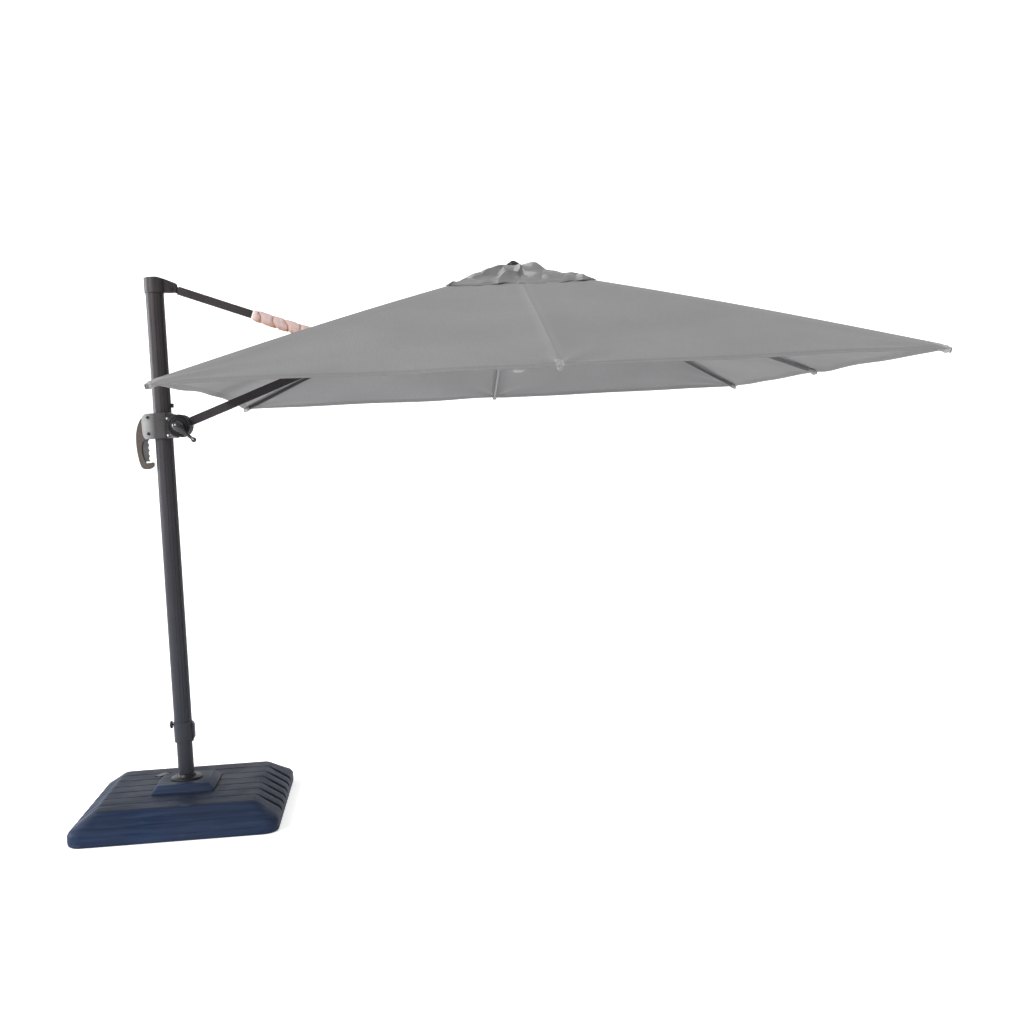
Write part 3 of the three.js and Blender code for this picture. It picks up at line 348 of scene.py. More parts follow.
def black_plastic(name="black_plastic", shine=0.28, smooth=0.3, rough=0.46):
    """Textured black moulding with faint flow marks and edges rubbed to grey."""
    made = Finish(name, smooth, Specular_IOR_Level=shine)
    stipple = made.noise(1400.0, 2)
    flow = made.noise(1.0, 4, made.stretched((18, 18, 60)))
    color = made.mix(flow, (0.006, 0.006, 0.009), (0.016, 0.016, 0.021))
    color = made.mix(made.math("MULTIPLY", made.worn_edges(), 0.4), color, (0.09, 0.09, 0.1))
    rough = made.range(flow, 0.3, 0.7, smooth, rough)
    return made.done(color, made.bump(stipple, 0.15 * MM, 0.6), rough)


def runner_plastic():
    """Black moulding with a pale worn ring at its lower end."""
    made = Finish("runner_plastic", 0.42)
    flow = made.noise(30.0, 4)
    ring = made.range(made.axis("Z"), RUNNER_RING + 2 * MM, RUNNER_RING)
    color = made.mix(flow, (0.014, 0.014, 0.018), (0.03, 0.03, 0.036))
    color = made.mix(made.math("MULTIPLY", ring, 0.85), color, (0.45, 0.45, 0.46))
    return made.done(color, made.bump(flow, 0.2 * MM, 0.5))


def slider_plastic(name, outer, inner, edge):
    """Lacquered moulding with a soft metallic sheen; a painted reflection in its colour is light at its back and
    darkens towards the mast's front, with painted shade at its front end.
    """
    made = Finish(name, 0.34, 0.15, Specular_IOR_Level=0.25)
    flake = made.noise(2600.0, 1)
    cloud = made.noise(14.0, 4)
    scuff = made.range(made.noise(1.0, 6, made.stretched((60, 60, 160))), 0.62, 0.74)
    # painted reflection: light at the back of the moulding, dark towards its front; then painted shade at its
    # front end
    color = made.mix(made.range(made.axis("X"), -0.085, -0.03), outer, inner)
    color = made.mix(made.range(made.axis("X"), 0.0, 0.03), color, (0.014, 0.014, 0.016))
    color = made.mix(made.range(cloud, 0.35, 0.65, 0, 0.3), color, inner)
    color = made.mix(made.range(flake, 0.5, 0.75, 0, 0.25), color, edge)
    color = made.mix(made.math("MULTIPLY", scuff, 0.25), color, (0.05, 0.047, 0.047))
    color = made.mix(made.math("MULTIPLY", made.worn_edges(), 0.5), color, edge)
    rough = made.range(cloud, 0.3, 0.7, 0.26, 0.4)
    return made.done(color, made.bump(flake, 0.06 * MM, 0.4), rough)


def zinc_steel(name="steel", color=(0.42, 0.43, 0.45), dark=(0.25, 0.25, 0.27), metallic=0.9):
    """Plated steel with a faint spangle and lathe marks."""
    made = Finish(name, 0.35, metallic)
    spangle = made.node("ShaderNodeTexVoronoi", {"Vector": made.place, "Scale": 160.0}).outputs["Distance"]
    lathe = made.noise(1.0, 4, made.stretched((900, 90, 900)))
    shade = made.mix(made.range(spangle, 0.1, 0.7), color, dark)
    rough = made.range(lathe, 0.3, 0.7, 0.26, 0.45)
    return made.done(shade, made.bump(lathe, 0.08 * MM, 0.5), rough)


def rib_paint():
    """Lighter grey powder coat of the ribs and struts."""
    made = Finish("rib_paint", 0.4, 0.4)
    peel = made.noise(900.0, 2)
    cloud = made.noise(9.0, 4)
    color = made.mix(made.range(cloud, 0.35, 0.65), (0.175, 0.175, 0.183), (0.225, 0.225, 0.232))
    color = made.mix(made.math("MULTIPLY", made.worn_edges(0.53, 0.66), 0.4), color, (0.4, 0.4, 0.41))
    return made.done(color, made.bump(peel, 0.1 * MM, 0.5), made.range(cloud, 0.3, 0.7, 0.34, 0.5))


def dull(name, light, dark, scale, roughness, relief):
    """A matt material with cloudy colour and a matching relief, such as nylon, rubber or cast stone."""
    made = Finish(name, roughness)
    cloud = made.noise(scale, 6)
    return made.done(made.mix(made.range(cloud, 0.3, 0.7), light, dark), made.bump(cloud, relief, 0.7))


MATERIALS = {
    "canopy_fabric": canopy_cloth(),
    "flap_fabric": canopy_cloth("flap_fabric", 0.5, 0.4, 0.5),
    "foam": wrap_foam(),
    "tape": adhesive_tape(),
    "base_plastic": base_plastic(),
    "frame_paint": frame_paint(),
    # painted shade: a near-black paint for the far-left rib, which stands in for the shade on it under the canopy
    "painted_shade_black": frame_paint("painted_shade_black", (0.008, 0.007, 0.008), (0.006, 0.007, 0.010)),
    "black_plastic": black_plastic(),
    "lever_plastic": black_plastic("lever_plastic", 0.7, 0.16, 0.26),
    "grey_plastic": slider_plastic(
        "grey_plastic", outer=(0.38, 0.385, 0.395), inner=(0.026, 0.025, 0.028), edge=(0.30, 0.29, 0.29)),
    "grip_plastic": slider_plastic(
        "grip_plastic", outer=(0.10, 0.084, 0.077), inner=(0.07, 0.06, 0.056), edge=(0.2, 0.18, 0.17)),
    "runner_plastic": runner_plastic(),
    "steel": zinc_steel(),
    "bright_steel": zinc_steel("bright_steel", (0.80, 0.80, 0.82), (0.62, 0.62, 0.64), 0.6),
    "end_cap": dull("end_cap", (0.40, 0.38, 0.38), (0.30, 0.29, 0.29), 80.0, 0.45, 0.2 * MM),
    "trigger_plastic": dull(
        "trigger_plastic", (0.085, 0.085, 0.092), (0.06, 0.06, 0.066), 60.0, 0.4, 0.2 * MM),
    "black_steel": zinc_steel("black_steel", (0.03, 0.03, 0.034), (0.018, 0.018, 0.02), 0.5),
    "rib_paint": rib_paint(),
    "nylon": dull("nylon", (0.62, 0.61, 0.58), (0.52, 0.51, 0.48), 60.0, 0.5, 0.2 * MM),
    "rubber": dull("rubber", (0.03, 0.03, 0.03), (0.018, 0.018, 0.018), 90.0, 0.75, 0.4 * MM),
    "stone_fill": dull("stone_fill", (0.34, 0.33, 0.31), (0.22, 0.21, 0.20), 30.0, 0.9, 2 * MM),
}

# ------------------------------------------------------------------ mesh helpers


def grid_faces(rows, columns, wrap_columns=False, wrap_rows=False):
    """Quads of a grid whose columns and rows may close on themselves."""
    index = np.arange(rows * columns).reshape(rows, columns)
    if wrap_rows:
        index = np.concatenate([index, index[:1]], axis=0)
    if wrap_columns:
        index = np.concatenate([index, index[:, :1]], axis=1)
    quads = [index[:-1, :-1], index[:-1, 1:], index[1:, 1:], index[1:, :-1]]
    return np.stack(quads, -1).reshape(-1, 4)


def add_piece(name, vertices, faces, slot, body, replaces=(), attributes=None, material=None):
    """A smooth mesh piece with its material, riding on a body."""
    mesh = bpy.data.meshes.new(name)
    mesh.from_pydata(np.asarray(vertices).tolist(), [], [list(map(int, face)) for face in faces])
    mesh.polygons.foreach_set("use_smooth", [True] * len(mesh.polygons))
    for key, values in (attributes or {}).items():
        values = np.asarray(values, np.float32)
        kind = "FLOAT_VECTOR" if values.ndim == 2 else "FLOAT"
        field = "vector" if values.ndim == 2 else "value"
        mesh.attributes.new(key, kind, "POINT").data.foreach_set(field, values.ravel())
    mesh.materials.append(MATERIALS[material or slot])
    piece = bpy.data.objects.new(name, mesh)
    bpy.context.scene.collection.objects.link(piece)
    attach(piece, body)
    if replaces:
        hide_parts(*replaces)
    return piece


def thin_sheet(name, top, normals, thickness, cloth, body, replaces, material):
    """A closed sheet of cloth from a grid of points; its underside is offset along the given normals."""
    rows, columns = top.shape[:2]
    faces = grid_faces(rows, columns)
    flat = top.reshape(-1, 3)
    up = normals.reshape(-1, 3)
    a, b, _, d = (flat[faces[0, k]] for k in range(4))
    if np.dot(np.cross(b - a, d - a), up[faces[0, 0]]) < 0:
        faces = faces[:, ::-1]
    count = len(flat)
    under = flat - up * thickness.reshape(-1, 1)
    starts, ends = faces.ravel(), np.roll(faces, -1, axis=1).ravel()
    used = {(int(p), int(q)) for p, q in zip(starts, ends)}
    rim = [(q, p, p + count, q + count) for p, q in sorted(used) if (q, p) not in used]
    every = np.concatenate([faces, faces[:, ::-1] + count, np.array(rim)])
    attributes = {"cloth": np.tile(cloth.reshape(-1, 3), (2, 1))}
    vertices = np.concatenate([flat, under])
    piece = add_piece(name, vertices, every, "canopy_fabric", body, replaces, attributes, material)
    corner_normals = np.concatenate([up, -up])[every.ravel()]
    corner_normals[2 * faces.size:] = 0
    piece.data.normals_split_custom_set(corner_normals.tolist())
    return piece


# ------------------------------------------------------------------ canopy


def panel_point(panel, outward, lateral, height):
    """Points given by a panel's own outward and sideways distances from the canopy's centre."""
    out, left = direction(PANELS[panel]), direction(PANELS[panel] + 90)
    flat = CENTRE + outward[..., None] * out + lateral[..., None] * left
    return np.concatenate([flat, height[..., None]], -1)


def tip_creases(outward, lateral, tips, fade):
    """Small creases that fan out from where the cloth is pulled to a rib's end."""
    height = np.zeros_like(outward)
    for place, (reach, side, folds, size, spread) in enumerate(tips):
        away = np.hypot(outward - reach, lateral - side)
        angle = np.arctan2(lateral - side, reach - outward + 1e-9)
        height += size * away * np.exp(-away / spread) * np.sin(folds * angle + 1.3 * place)
    return height * fade


def canopy_sheet(panel, outward, across):
    """Points of the main sheet: outward from the centre, and across from -1 to 1 between the corner ribs."""
    free = panel == "left"
    reach = outward / HALF
    hang = 1 - across**2 if free else 4 * np.abs(across) * (1 - np.abs(across))
    corner = (1 - np.abs(across)) * outward / math.sqrt(2)
    rib = corner if free else np.minimum(corner, np.abs(across) * outward)
    lateral = across * outward
    if free:
        begin, end, taper = STAY_SLOT["from"], STAY_SLOT["to"], STAY_SLOT["taper"]
        opening = STAY_SLOT["half"] * smoothstep(begin - taper, begin + taper / 3, outward)
        opening = opening * smoothstep(end + taper, end - taper / 3, outward)
        side = np.where(across < 0, -1.0, 1.0) if np.ndim(across) else 1.0
        lateral = lateral + side * opening * (1 - np.abs(across))
    bow = (FREE_EDGE_BOW if free else EDGE_BOW) * hang * reach**6
    sag = (0.4 if free else 1.0) * EDGE_SAG * hang * reach**1.6
    held = 1 - 0.75 * smoothstep(0.7, 1.0, reach)
    ridge = RIDGE_DROP * reach * held * (1 - np.exp(-rib / (RIDGE_WIDTH * reach + 4 * MM)))
    fade = smoothstep(0.0, 0.05, corner)
    tips = [(HALF, HALF, 15, 0.042, 0.15), (HALF, -HALF, 17, 0.042, 0.15)]
    if not free:
        tips.append((HALF, 0.0, 7, 0.085, 0.10))
    creases = tip_creases(outward, lateral, tips, fade)
    phase = math.radians(PANELS[panel])
    waves = np.sin(9.0 * lateral + 4.0 * outward + phase)
    waves = waves + np.sin(-6.0 * lateral + 7.0 * outward + 2 * phase)
    swell = 1.6 * MM * waves * smoothstep(0.0, 0.25, rib) * reach
    droop = HEM_DROOP * smoothstep(HALF - HEM_WIDTH, HALF, outward)
    crown = CROWN * np.sin(math.pi * np.clip(reach, 0, 1))
    height = APEX - SLOPE * (outward - bow) + crown - sag - ridge - droop + creases + swell
    return panel_point(panel, outward - bow, lateral, height)


FLAP_FOLDS = [  # crests that run out from the finial: azimuth, spread in degrees, height in millimetres
    (-160, 12, 9), (-138, 7, 18), (-115, 10, 10), (-94, 8, 26), (-66, 9, 18), (-40, 7, 27), (-12, 9, 14),
    (22, 10, 14), (55, 9, 16), (88, 9, 12), (121, 10, 15), (152, 9, 9), (180, 8, 14),
]
FLAP_BULGES = [  # places where the flap stands off the canopy: x, y, radius, height in millimetres
    (306, -90, 88, 52), (305, 90, 80, 24), (-200, -150, 80, 9), (-230, 120, 80, 6), (60, 260, 90, 8),
    (-60, -235, 85, 12),
]
FLAP_DIPS = [  # and places where it falls in, given the same way
    (175, -70, 55, 40), (175, 70, 55, 34), (105, 20, 45, 14), (-120, -190, 50, 18), (20, -190, 45, 16),
]


def radial_folds(around, radius):
    """Height of the flap's crests, which are sharp at the top and wander a little as they run out."""
    height = np.zeros_like(around)
    for azimuth, spread, size in FLAP_FOLDS:
        middle = math.radians(azimuth) + 0.25 * np.sin(14 * radius + azimuth)
        away = np.abs(np.angle(np.exp(1j * (around - middle))))
        crest = np.clip(1 - away / math.radians(1.9 * spread), 0, None) ** 1.3
        height = np.maximum(height, size * MM * crest)
    return height


def flap_sheet(panel, outward, across):
    """Points of the vent flap: a loose tent round the finial whose crumpled skirt lies on the main sheet."""
    lateral = across * outward
    out, left = direction(PANELS[panel]), direction(PANELS[panel] + 90)
    x = outward * out[0] + lateral * left[0]
    y = outward * out[1] + lateral * left[1]
    radius = np.hypot(x, y)
    gathered = 8 * MM * smoothstep(0.035, 0.07, radius) * smoothstep(0.2, 0.1, radius)
    taut = FLAP_APEX - FLAP_SLOPE * outward - 3 * MM * smoothstep(0.14, 0.09, outward) + gathered
    main = canopy_sheet(panel, outward, across)[..., 2]
    height = main + 6 * MM + (taut - main) * smoothstep(0.22, 0.05, outward)
    skirt = smoothstep(0.05, 0.15, radius)
    edge = smoothstep(0.25, 0.35, outward)
    height = height + radial_folds(np.arctan2(y, x), radius) * skirt * (1 - 0.6 * edge)
    for side, depth, reach, size in FLAP_BULGES:
        away = np.hypot(x - side * MM, y - depth * MM) / (reach * MM)
        height = height + size * MM * np.clip(1 - away, 0, None) ** 1.2
    for side, depth, reach, size in FLAP_DIPS:
        away = np.hypot(x - side * MM, y - depth * MM) / (reach * MM)
        height = height - size * MM * np.exp(-away**2)
    crumple = np.abs(np.sin(41 * x + 17 * y + 0.8) + np.sin(29 * y - 23 * x + 1.1)) - 0.8
    crumple = crumple + 0.6 * np.abs(np.sin(47 * x - 31 * y)) * np.sin(60 * y + 31 * x)
    height = height + 3.6 * MM * crumple * skirt - 4 * MM * smoothstep(0.33, 0.35, outward)
    height = np.maximum(height, main + 3.2 * MM)
    return panel_point(panel, outward - 9 * MM * edge * (1 + crumple), lateral, height)


def sheet_normals(surface, panel, outward, across, limits):
    """Upward normals of a surface, which keep its creases sharp where a strip ends on a rib."""
    step = 1e-4
    low, high = np.clip(across - step, *limits), np.clip(across + step, *limits)
    along = surface(panel, outward + step, across) - surface(panel, outward - step, across)
    aside = surface(panel, outward, high) - surface(panel, outward, low)
    normals = np.cross(along, aside)
    normals /= np.linalg.norm(normals, axis=-1, keepdims=True)
    return normals * np.sign(normals[..., 2:])


def half_sectors():
    """Each strip of cloth that one rib carries on one of its sides: (rib, panel, side, inner, outer)."""
    strips = []
    for panel, middle in PANELS.items():
        for side in (-1, 1):
            corner = next(name for name, azimuth in RIBS.items() if azimuth == (middle + side * 45) % 360)
            if panel in RIBS:
                strips.append((panel, panel, side, 0.0, side * SPLIT))
                strips.append((corner, panel, -side, side * SPLIT, side * 1.0))
            else:
                strips.append((corner, panel, -side, 0.0, side * 1.0))
    return strips


def fold_with_rib(piece, rib, side, border, half_gap, share):
    """Works out how far a strip's border would move so that it meets the next strip's as the rib swings down, and
    gives the strip its own mesh; the shift is not applied.
    """
    joint = joints["rib_turn_" + rib]
    pivot, axis = Vector(joint["pos_m"]), Vector(joint["axis"])
    turn = math.radians(joint["range_deg"][1])
    out = axis.cross(Vector((0, 0, 1)))
    apex = Vector((*CENTRE, APEX))
    slope = SLOPE * max(abs(out.x), abs(out.y))
    ridge = (out - Vector((0, 0, slope))).normalized()
    foot = apex + ridge * (border - apex).dot(ridge)
    swing = Matrix.Rotation(turn, 3, axis)
    folded = pivot + swing @ (foot - pivot)
    reach = (folded - apex).dot(out)
    aim = Matrix.Rotation(math.radians(side * half_gap), 3, "Z") @ out
    target = Vector((*CENTRE, folded.z)) + aim * (reach * share)
    pulled = pivot + swing.transposed() @ (target - pivot)
    shift = border - pulled
    shift -= ridge * shift.dot(ridge)
    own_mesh(piece)


def cloth_strip(name, surface, strip, span, steps, gather, replaced, border_width):
    """One strip of a sheet, with its thicker border, on the rib that carries it."""
    rib, panel, side, inner, outer = strip
    rows = span[0] + (span[1] - span[0]) * np.linspace(0, 1, steps[0])
    columns = np.linspace(inner, outer, steps[1])
    outward, across = np.meshgrid(rows, columns, indexing="ij")
    top = surface(panel, outward, across)
    normals = sheet_normals(surface, panel, outward, across, sorted((inner, outer)))
    edge = smoothstep(span[1] - border_width, span[1] - border_width + 3 * MM, outward)
    thickness = CLOTH + HEM_THICKER * edge
    lateral = across * outward
    beside = (np.abs(across) - 1) * outward / math.sqrt(2)
    if rib == panel:
        beside = lateral
    cloth = np.stack([lateral, outward + (HALF - span[1]), beside], -1)
    material = "canopy_fabric" if replaced == "canopy" else "flap_fabric"
    piece = thin_sheet(name, top, normals, thickness, cloth, "rib_" + rib, (replaced,), material)
    free = panel == "left"
    split = 0.0 if free else (outer if rib == panel else inner)
    if free:
        meet, share = gather["free_meet"], gather["free_share"]
    else:
        meet, share = gather["meet"], gather["share"]
    border = surface(panel, np.array([meet]), np.array([split]))[0]
    fold_with_rib(piece, rib, side, Vector(border), 45.0 if free else 22.5, share)


# Where neighbouring strips would meet when folded: distance from the apex, and share of the ribs' own reach
CANOPY_GATHER = {"meet": 0.5, "share": 0.82, "free_meet": 1.2, "free_share": 0.45}
FLAP_GATHER = {"meet": 0.2, "share": 1.05, "free_meet": 0.33, "free_share": 0.58}


def build_canopy():
    """Both sheets, strip by strip."""
    seen = {}
    for strip in half_sectors():
        rib = strip[0]
        seen[rib] = seen.get(rib, 0) + 1
        tag = f"{rib}_{seen[rib]}"
        columns = 44 if strip[1] != "left" else 70
        cloth_strip("canopy_" + tag, canopy_sheet, strip, (VENT_HOLE, HALF), (84, columns),
                    CANOPY_GATHER, "canopy", HEM_WIDTH)
        cloth_strip("flap_" + tag, flap_sheet, strip, (FLAP_START, FLAP_HALF), (44, columns),
                    FLAP_GATHER, "vent_cover", FLAP_HEM)


def build_cap():
    """The round patch under the finial that holds the flap's pieces together."""
    rings, spokes = 14, 64
    radius, angle = np.meshgrid(
        np.linspace(8 * MM, CAP_RADIUS, rings), np.arange(spokes) * 2 * math.pi / spokes, indexing="ij")
    square = radius * np.maximum(np.abs(np.cos(angle)), np.abs(np.sin(angle)))
    wave = 2.2 * MM * np.sin(7 * angle + 3 * np.sin(2 * angle)) * smoothstep(0.04, CAP_RADIUS, radius)
    wave = wave + 6 * MM * smoothstep(0.035, 0.07, radius)
    height = FLAP_APEX + 1.2 * MM - FLAP_SLOPE * (0.35 * radius + 0.65 * square) + wave
    x = CENTRE[0] + radius * np.cos(angle)
    y = radius * np.sin(angle)
    top = np.stack([x, y, height], -1)
    under = top - np.array([0, 0, CLOTH])
    count = rings * spokes
    upper = grid_faces(rings, spokes, wrap_columns=True)
    faces = [*upper[:, ::-1], *(upper + count)]
    inner = np.arange(spokes)
    for p, q in zip(inner, np.roll(inner, -1)):
        faces.append((q, q + count, p + count, p))
    outer = (rings - 1) * spokes + inner
    for p, q in zip(outer, np.roll(outer, -1)):
        faces.append((p, p + count, q + count, q))
    edge = HALF - CAP_RADIUS + radius
    cloth = np.stack([radius * angle, edge, np.full_like(radius, 0.5)], -1).reshape(-1, 3)
    vertices = np.concatenate([top.reshape(-1, 3), under.reshape(-1, 3)])
    attributes = {"cloth": np.concatenate([cloth, cloth])}
    add_piece("flap_cap", vertices, faces, "canopy_fabric", "hub", ("vent_cover",), attributes, "flap_fabric")


build_canopy()
build_cap()

# ------------------------------------------------------------------ foam wrap on the stay


def stay_axes():
    """The stay's upper pivot and its own directions: along, sideways and up."""
    start = Vector(joints["arm_fold"]["pos_m"])
    along = (Vector(joints["boom_turn"]["pos_m"]) - start).normalized()
    side = Vector((0, 1, 0))
    return start, along, side, along.cross(side)


def sleeve(name, stations, thickness, power, material, slot, replaces=()):
    """Soft sleeve round the stay: thickness(station, angle) gives it over the tube, with a bore inside."""
    start, along, side, up = stay_axes()
    spokes = 96
    angle = np.arange(spokes) * 2 * math.pi / spokes
    cosine, sine = np.cos(angle), np.sin(angle)
    rings, bulges = [], []

    def ring(station, over, exponent):
        wide, tall = STAY_HALF_WIDTH + over, STAY_HALF_HEIGHT + over
        radius = (np.abs(cosine / wide) ** exponent + np.abs(sine / tall) ** exponent) ** (-1 / exponent)
        points = [start + along * station + side * (r * c) + up * (r * s)
                  for r, c, s in zip(radius, cosine, sine)]
        rings.append([tuple(point) for point in points])

    for station in stations:
        over, bulge = thickness(station, angle)
        ring(station, over, power)
        bulges.append(bulge)
    for station in (stations[-1], stations[0]):
        ring(station, np.full_like(angle, 0.4 * MM), 5)
        bulges.append(np.zeros_like(angle))
    rings = np.array(rings)
    faces = grid_faces(len(rings), spokes, wrap_columns=True, wrap_rows=True)
    attributes = {"bulge": np.array(bulges).ravel()}
    add_piece(name, rings.reshape(-1, 3), faces[:, ::-1], slot, "stay", replaces, attributes, material)


def foam_thickness(station, angle):
    """Thickness of the twisted foam and its share of the full bulge, which is 0 down in a crease."""
    turns = (station - WRAP_START) / WRAP_PITCH - angle / (2 * math.pi)
    turns = turns + 0.06 * np.sin(2 * angle + 40 * station)
    share = np.mod(turns, 1.0)
    bulge = np.sin(math.pi * share) ** 0.55 * (0.86 + 0.14 * np.cos(2 * math.pi * share))
    size = 1 + 0.16 * np.sin(19 * station + 2 * np.sin(angle))
    rounding = 12 * MM
    ends = smoothstep(WRAP_START, WRAP_START + rounding, station)
    ends = ends * smoothstep(WRAP_END, WRAP_END - rounding, station)
    dents = 0.5 * MM * np.sin(210 * station + 5 * angle) * np.sin(7 * angle - 90 * station)
    return WRAP_THICKNESS + (WRAP_BULGE * bulge * size + dents) * (0.25 + 0.75 * ends), bulge


def tape_thickness(station, angle):
    """A flat turn of tape, slightly wavy."""
    return 2.1 * MM + 0.25 * MM * np.sin(9 * angle + 700 * station), 0 * angle


def build_wrap():
    """The foam wound round the stay, and the tape that holds its upper end."""
    wound = np.linspace(WRAP_START, WRAP_END, 220)
    sleeve("stay_foam", wound, foam_thickness, 2.5, "foam", "foam", ("stay_wrap",))
    flat = np.linspace(WRAP_START - 7 * MM, WRAP_START + 8 * MM, 8)
    sleeve("stay_wrap_tape", flat, tape_thickness, 4.0, "tape", "foam")


build_wrap()

# ------------------------------------------------------------------ base


def base_profile(half):
    """Height of the base's top against its distance from the middle, with soft shoulders."""
    fall = (BASE_HEIGHT - BASE_SIDE) / (BASE_HALF - 8 * MM - BASE_TOP_HALF)
    slope = BASE_HEIGHT - fall * (half - BASE_TOP_HALF)
    blend = 7 * MM
    soft = np.clip(0.5 + (slope - BASE_HEIGHT) / (2 * blend), 0, 1)
    height = slope + (BASE_HEIGHT - slope) * soft - blend * soft * (1 - soft)
    lip, lip_drop = 14 * MM, 11 * MM
    edge = np.clip((half - (BASE_HALF - lip)) / lip, 0, 1)
    return height - lip_drop * edge**2.2


def plank_grooves(x, y):
    """Depth of the grooves between planks, thin on top and wider where the planks turn down at their ends."""
    width = 2 * BASE_TOP_HALF / PLANKS
    over_end = smoothstep(BASE_TOP_HALF - 12 * MM, BASE_TOP_HALF + 50 * MM, np.abs(x))
    depth = GROOVE_DEPTH + 7.5 * MM * over_end
    spread = 2.9 * MM + 7.0 * MM * over_end
    grooves = np.zeros_like(x)
    for k in range(1, PLANKS):
        middle = -BASE_TOP_HALF + k * width
        grooves = np.maximum(grooves, np.exp(-((y - middle) / spread) ** 2))
    beside = smoothstep(BASE_TOP_HALF + 30 * MM, BASE_TOP_HALF - 4 * MM, np.abs(y))
    return depth * grooves * beside


def mirrored(values):
    values = np.array(sorted(values))
    return np.unique(np.round(np.concatenate([-values, values]), 6))


def base_grid():
    """Grid lines over the base, closer together where its shape turns: x along the planks, y across them."""
    top, rim = BASE_TOP_HALF, BASE_HALF
    shoulder = [top + offset * MM for offset in (-10, -5, 0, 5, 10)]
    slope = np.linspace(top + 16 * MM, rim - 20 * MM, 9)
    lip = [rim - offset * MM for offset in (14, 10, 6, 3, 1, 0)]
    xs = mirrored([*np.linspace(0, top - 20 * MM, 18), *shoulder, *slope, *lip])
    beside_groove = (-16, -11, -7, -4.5, -2.8, -1.4, 0, 1.4, 2.8, 4.5, 7, 11, 16, 28, 40)
    width = 2 * top / PLANKS
    grooves = [-top + k * width + offset * MM for k in range(1, PLANKS) for offset in beside_groove]
    ys = mirrored([*np.abs(grooves), *shoulder, *slope, *lip])
    return np.meshgrid(xs, ys, indexing="ij")


def round_corners(x, y, half):
    """Moves the points of square outlines onto outlines whose corners are rounder towards the rim."""
    sharp = 0.1 * MM
    inside, outside = BASE_TOP_HALF - 80 * MM, BASE_HALF - 10 * MM
    radius = sharp + (BASE_CORNER - sharp) * smoothstep(inside, outside, half)
    other = np.minimum(np.abs(x), np.abs(y))
    past = np.clip(other - (half - radius), 0, None) / radius
    turn = past * math.pi / 4
    drawn_in = np.where(past > 0, radius * (1 - np.cos(turn)), 0)
    moved_along = np.where(past > 0, (half - radius + radius * np.sin(turn)) - other, 0)
    x_leads = np.abs(x) >= np.abs(y)
    return (x - np.sign(x) * np.where(x_leads, drawn_in, -moved_along),
            y - np.sign(y) * np.where(x_leads, -moved_along, drawn_in))


def base_underside(outline):
    """Rings that carry the rim's outline down its side, under its lip and up inside the hollow."""
    top, rim = BASE_TOP_HALF, BASE_HALF
    levels = [
        (rim, 40 * MM), (rim, 18 * MM), (rim - 1.5 * MM, 8 * MM), (rim - 6 * MM, 2 * MM),
        (rim - 12 * MM, 0.0), (rim - 20 * MM, 0.0), (rim - 22 * MM, 4 * MM), (rim - 22 * MM, 48 * MM),
        (top - 12 * MM, BASE_CEILING),
    ]
    return [np.column_stack([outline * (half / rim), np.full(len(outline), z)]) for half, z in levels]


def build_base():
    """The moulded base: its planked top, its side and lip, and the hollow underneath, as one closed skin."""
    x, y = base_grid()
    half = np.maximum(np.abs(x), np.abs(y))
    px, py = round_corners(x, y, half)
    grooves = plank_grooves(px, py)
    lumps = 0.3 * MM * np.sin(23 * px + 3 * np.sin(11 * py)) * np.sin(61 * py)
    height = base_profile(half) - grooves + lumps * smoothstep(BASE_HALF, BASE_HALF - 30 * MM, half)
    vertices = np.stack([px, py, height], -1).reshape(-1, 3)
    faces = [tuple(face) for face in grid_faces(*x.shape)]
    index = np.arange(x.size).reshape(x.shape)
    border = [*index[:, 0], *index[-1, 1:], *index[-2::-1, -1], *index[0, -2:0:-1]]
    underside = base_underside(vertices[border][:, :2])
    size = len(border)
    count = len(vertices)
    rings = [border]
    for _ in underside:
        rings.append(list(range(count, count + size)))
        count += size
    for upper, lower in zip(rings, rings[1:]):
        for k in range(size):
            following = (k + 1) % size
            faces.append((upper[k], lower[k], lower[following], upper[following]))
    for k, first in enumerate(rings[-1]):
        faces.append((first, count, rings[-1][(k + 1) % size]))
    vertices = np.concatenate([vertices, *underside, [[0, 0, BASE_CEILING]]])
    # groove depth, which the base's material turns into painted shade in the grooves
    groove_shade = np.zeros(len(vertices))
    groove_shade[:grooves.size] = grooves.ravel() / GROOVE_DEPTH
    attributes = {"groove_shade": groove_shade}
    piece = add_piece("base_moulding", vertices, faces, "base_plastic", "base", ("base_shell",), attributes)
    outward_facing(piece)


def outward_facing(piece):
    """Turns every face of a closed piece outwards."""
    shape = bmesh.new()
    shape.from_mesh(piece.data)
    bmesh.ops.recalc_face_normals(shape, faces=shape.faces)
    shape.to_mesh(piece.data)
    shape.free()


build_base()

# ------------------------------------------------------------------ rib ends


RIB_END_PROFILE = [  # place along the rib and radius, in millimetres: a rounded nose and a neck
    (7, 0), (6.2, 5), (4, 9), (0, 12), (-5, 13.2), (-11, 13.2), (-17, 11.5), (-20, 9.5), (-38, 9.5), (-38, 0),
]


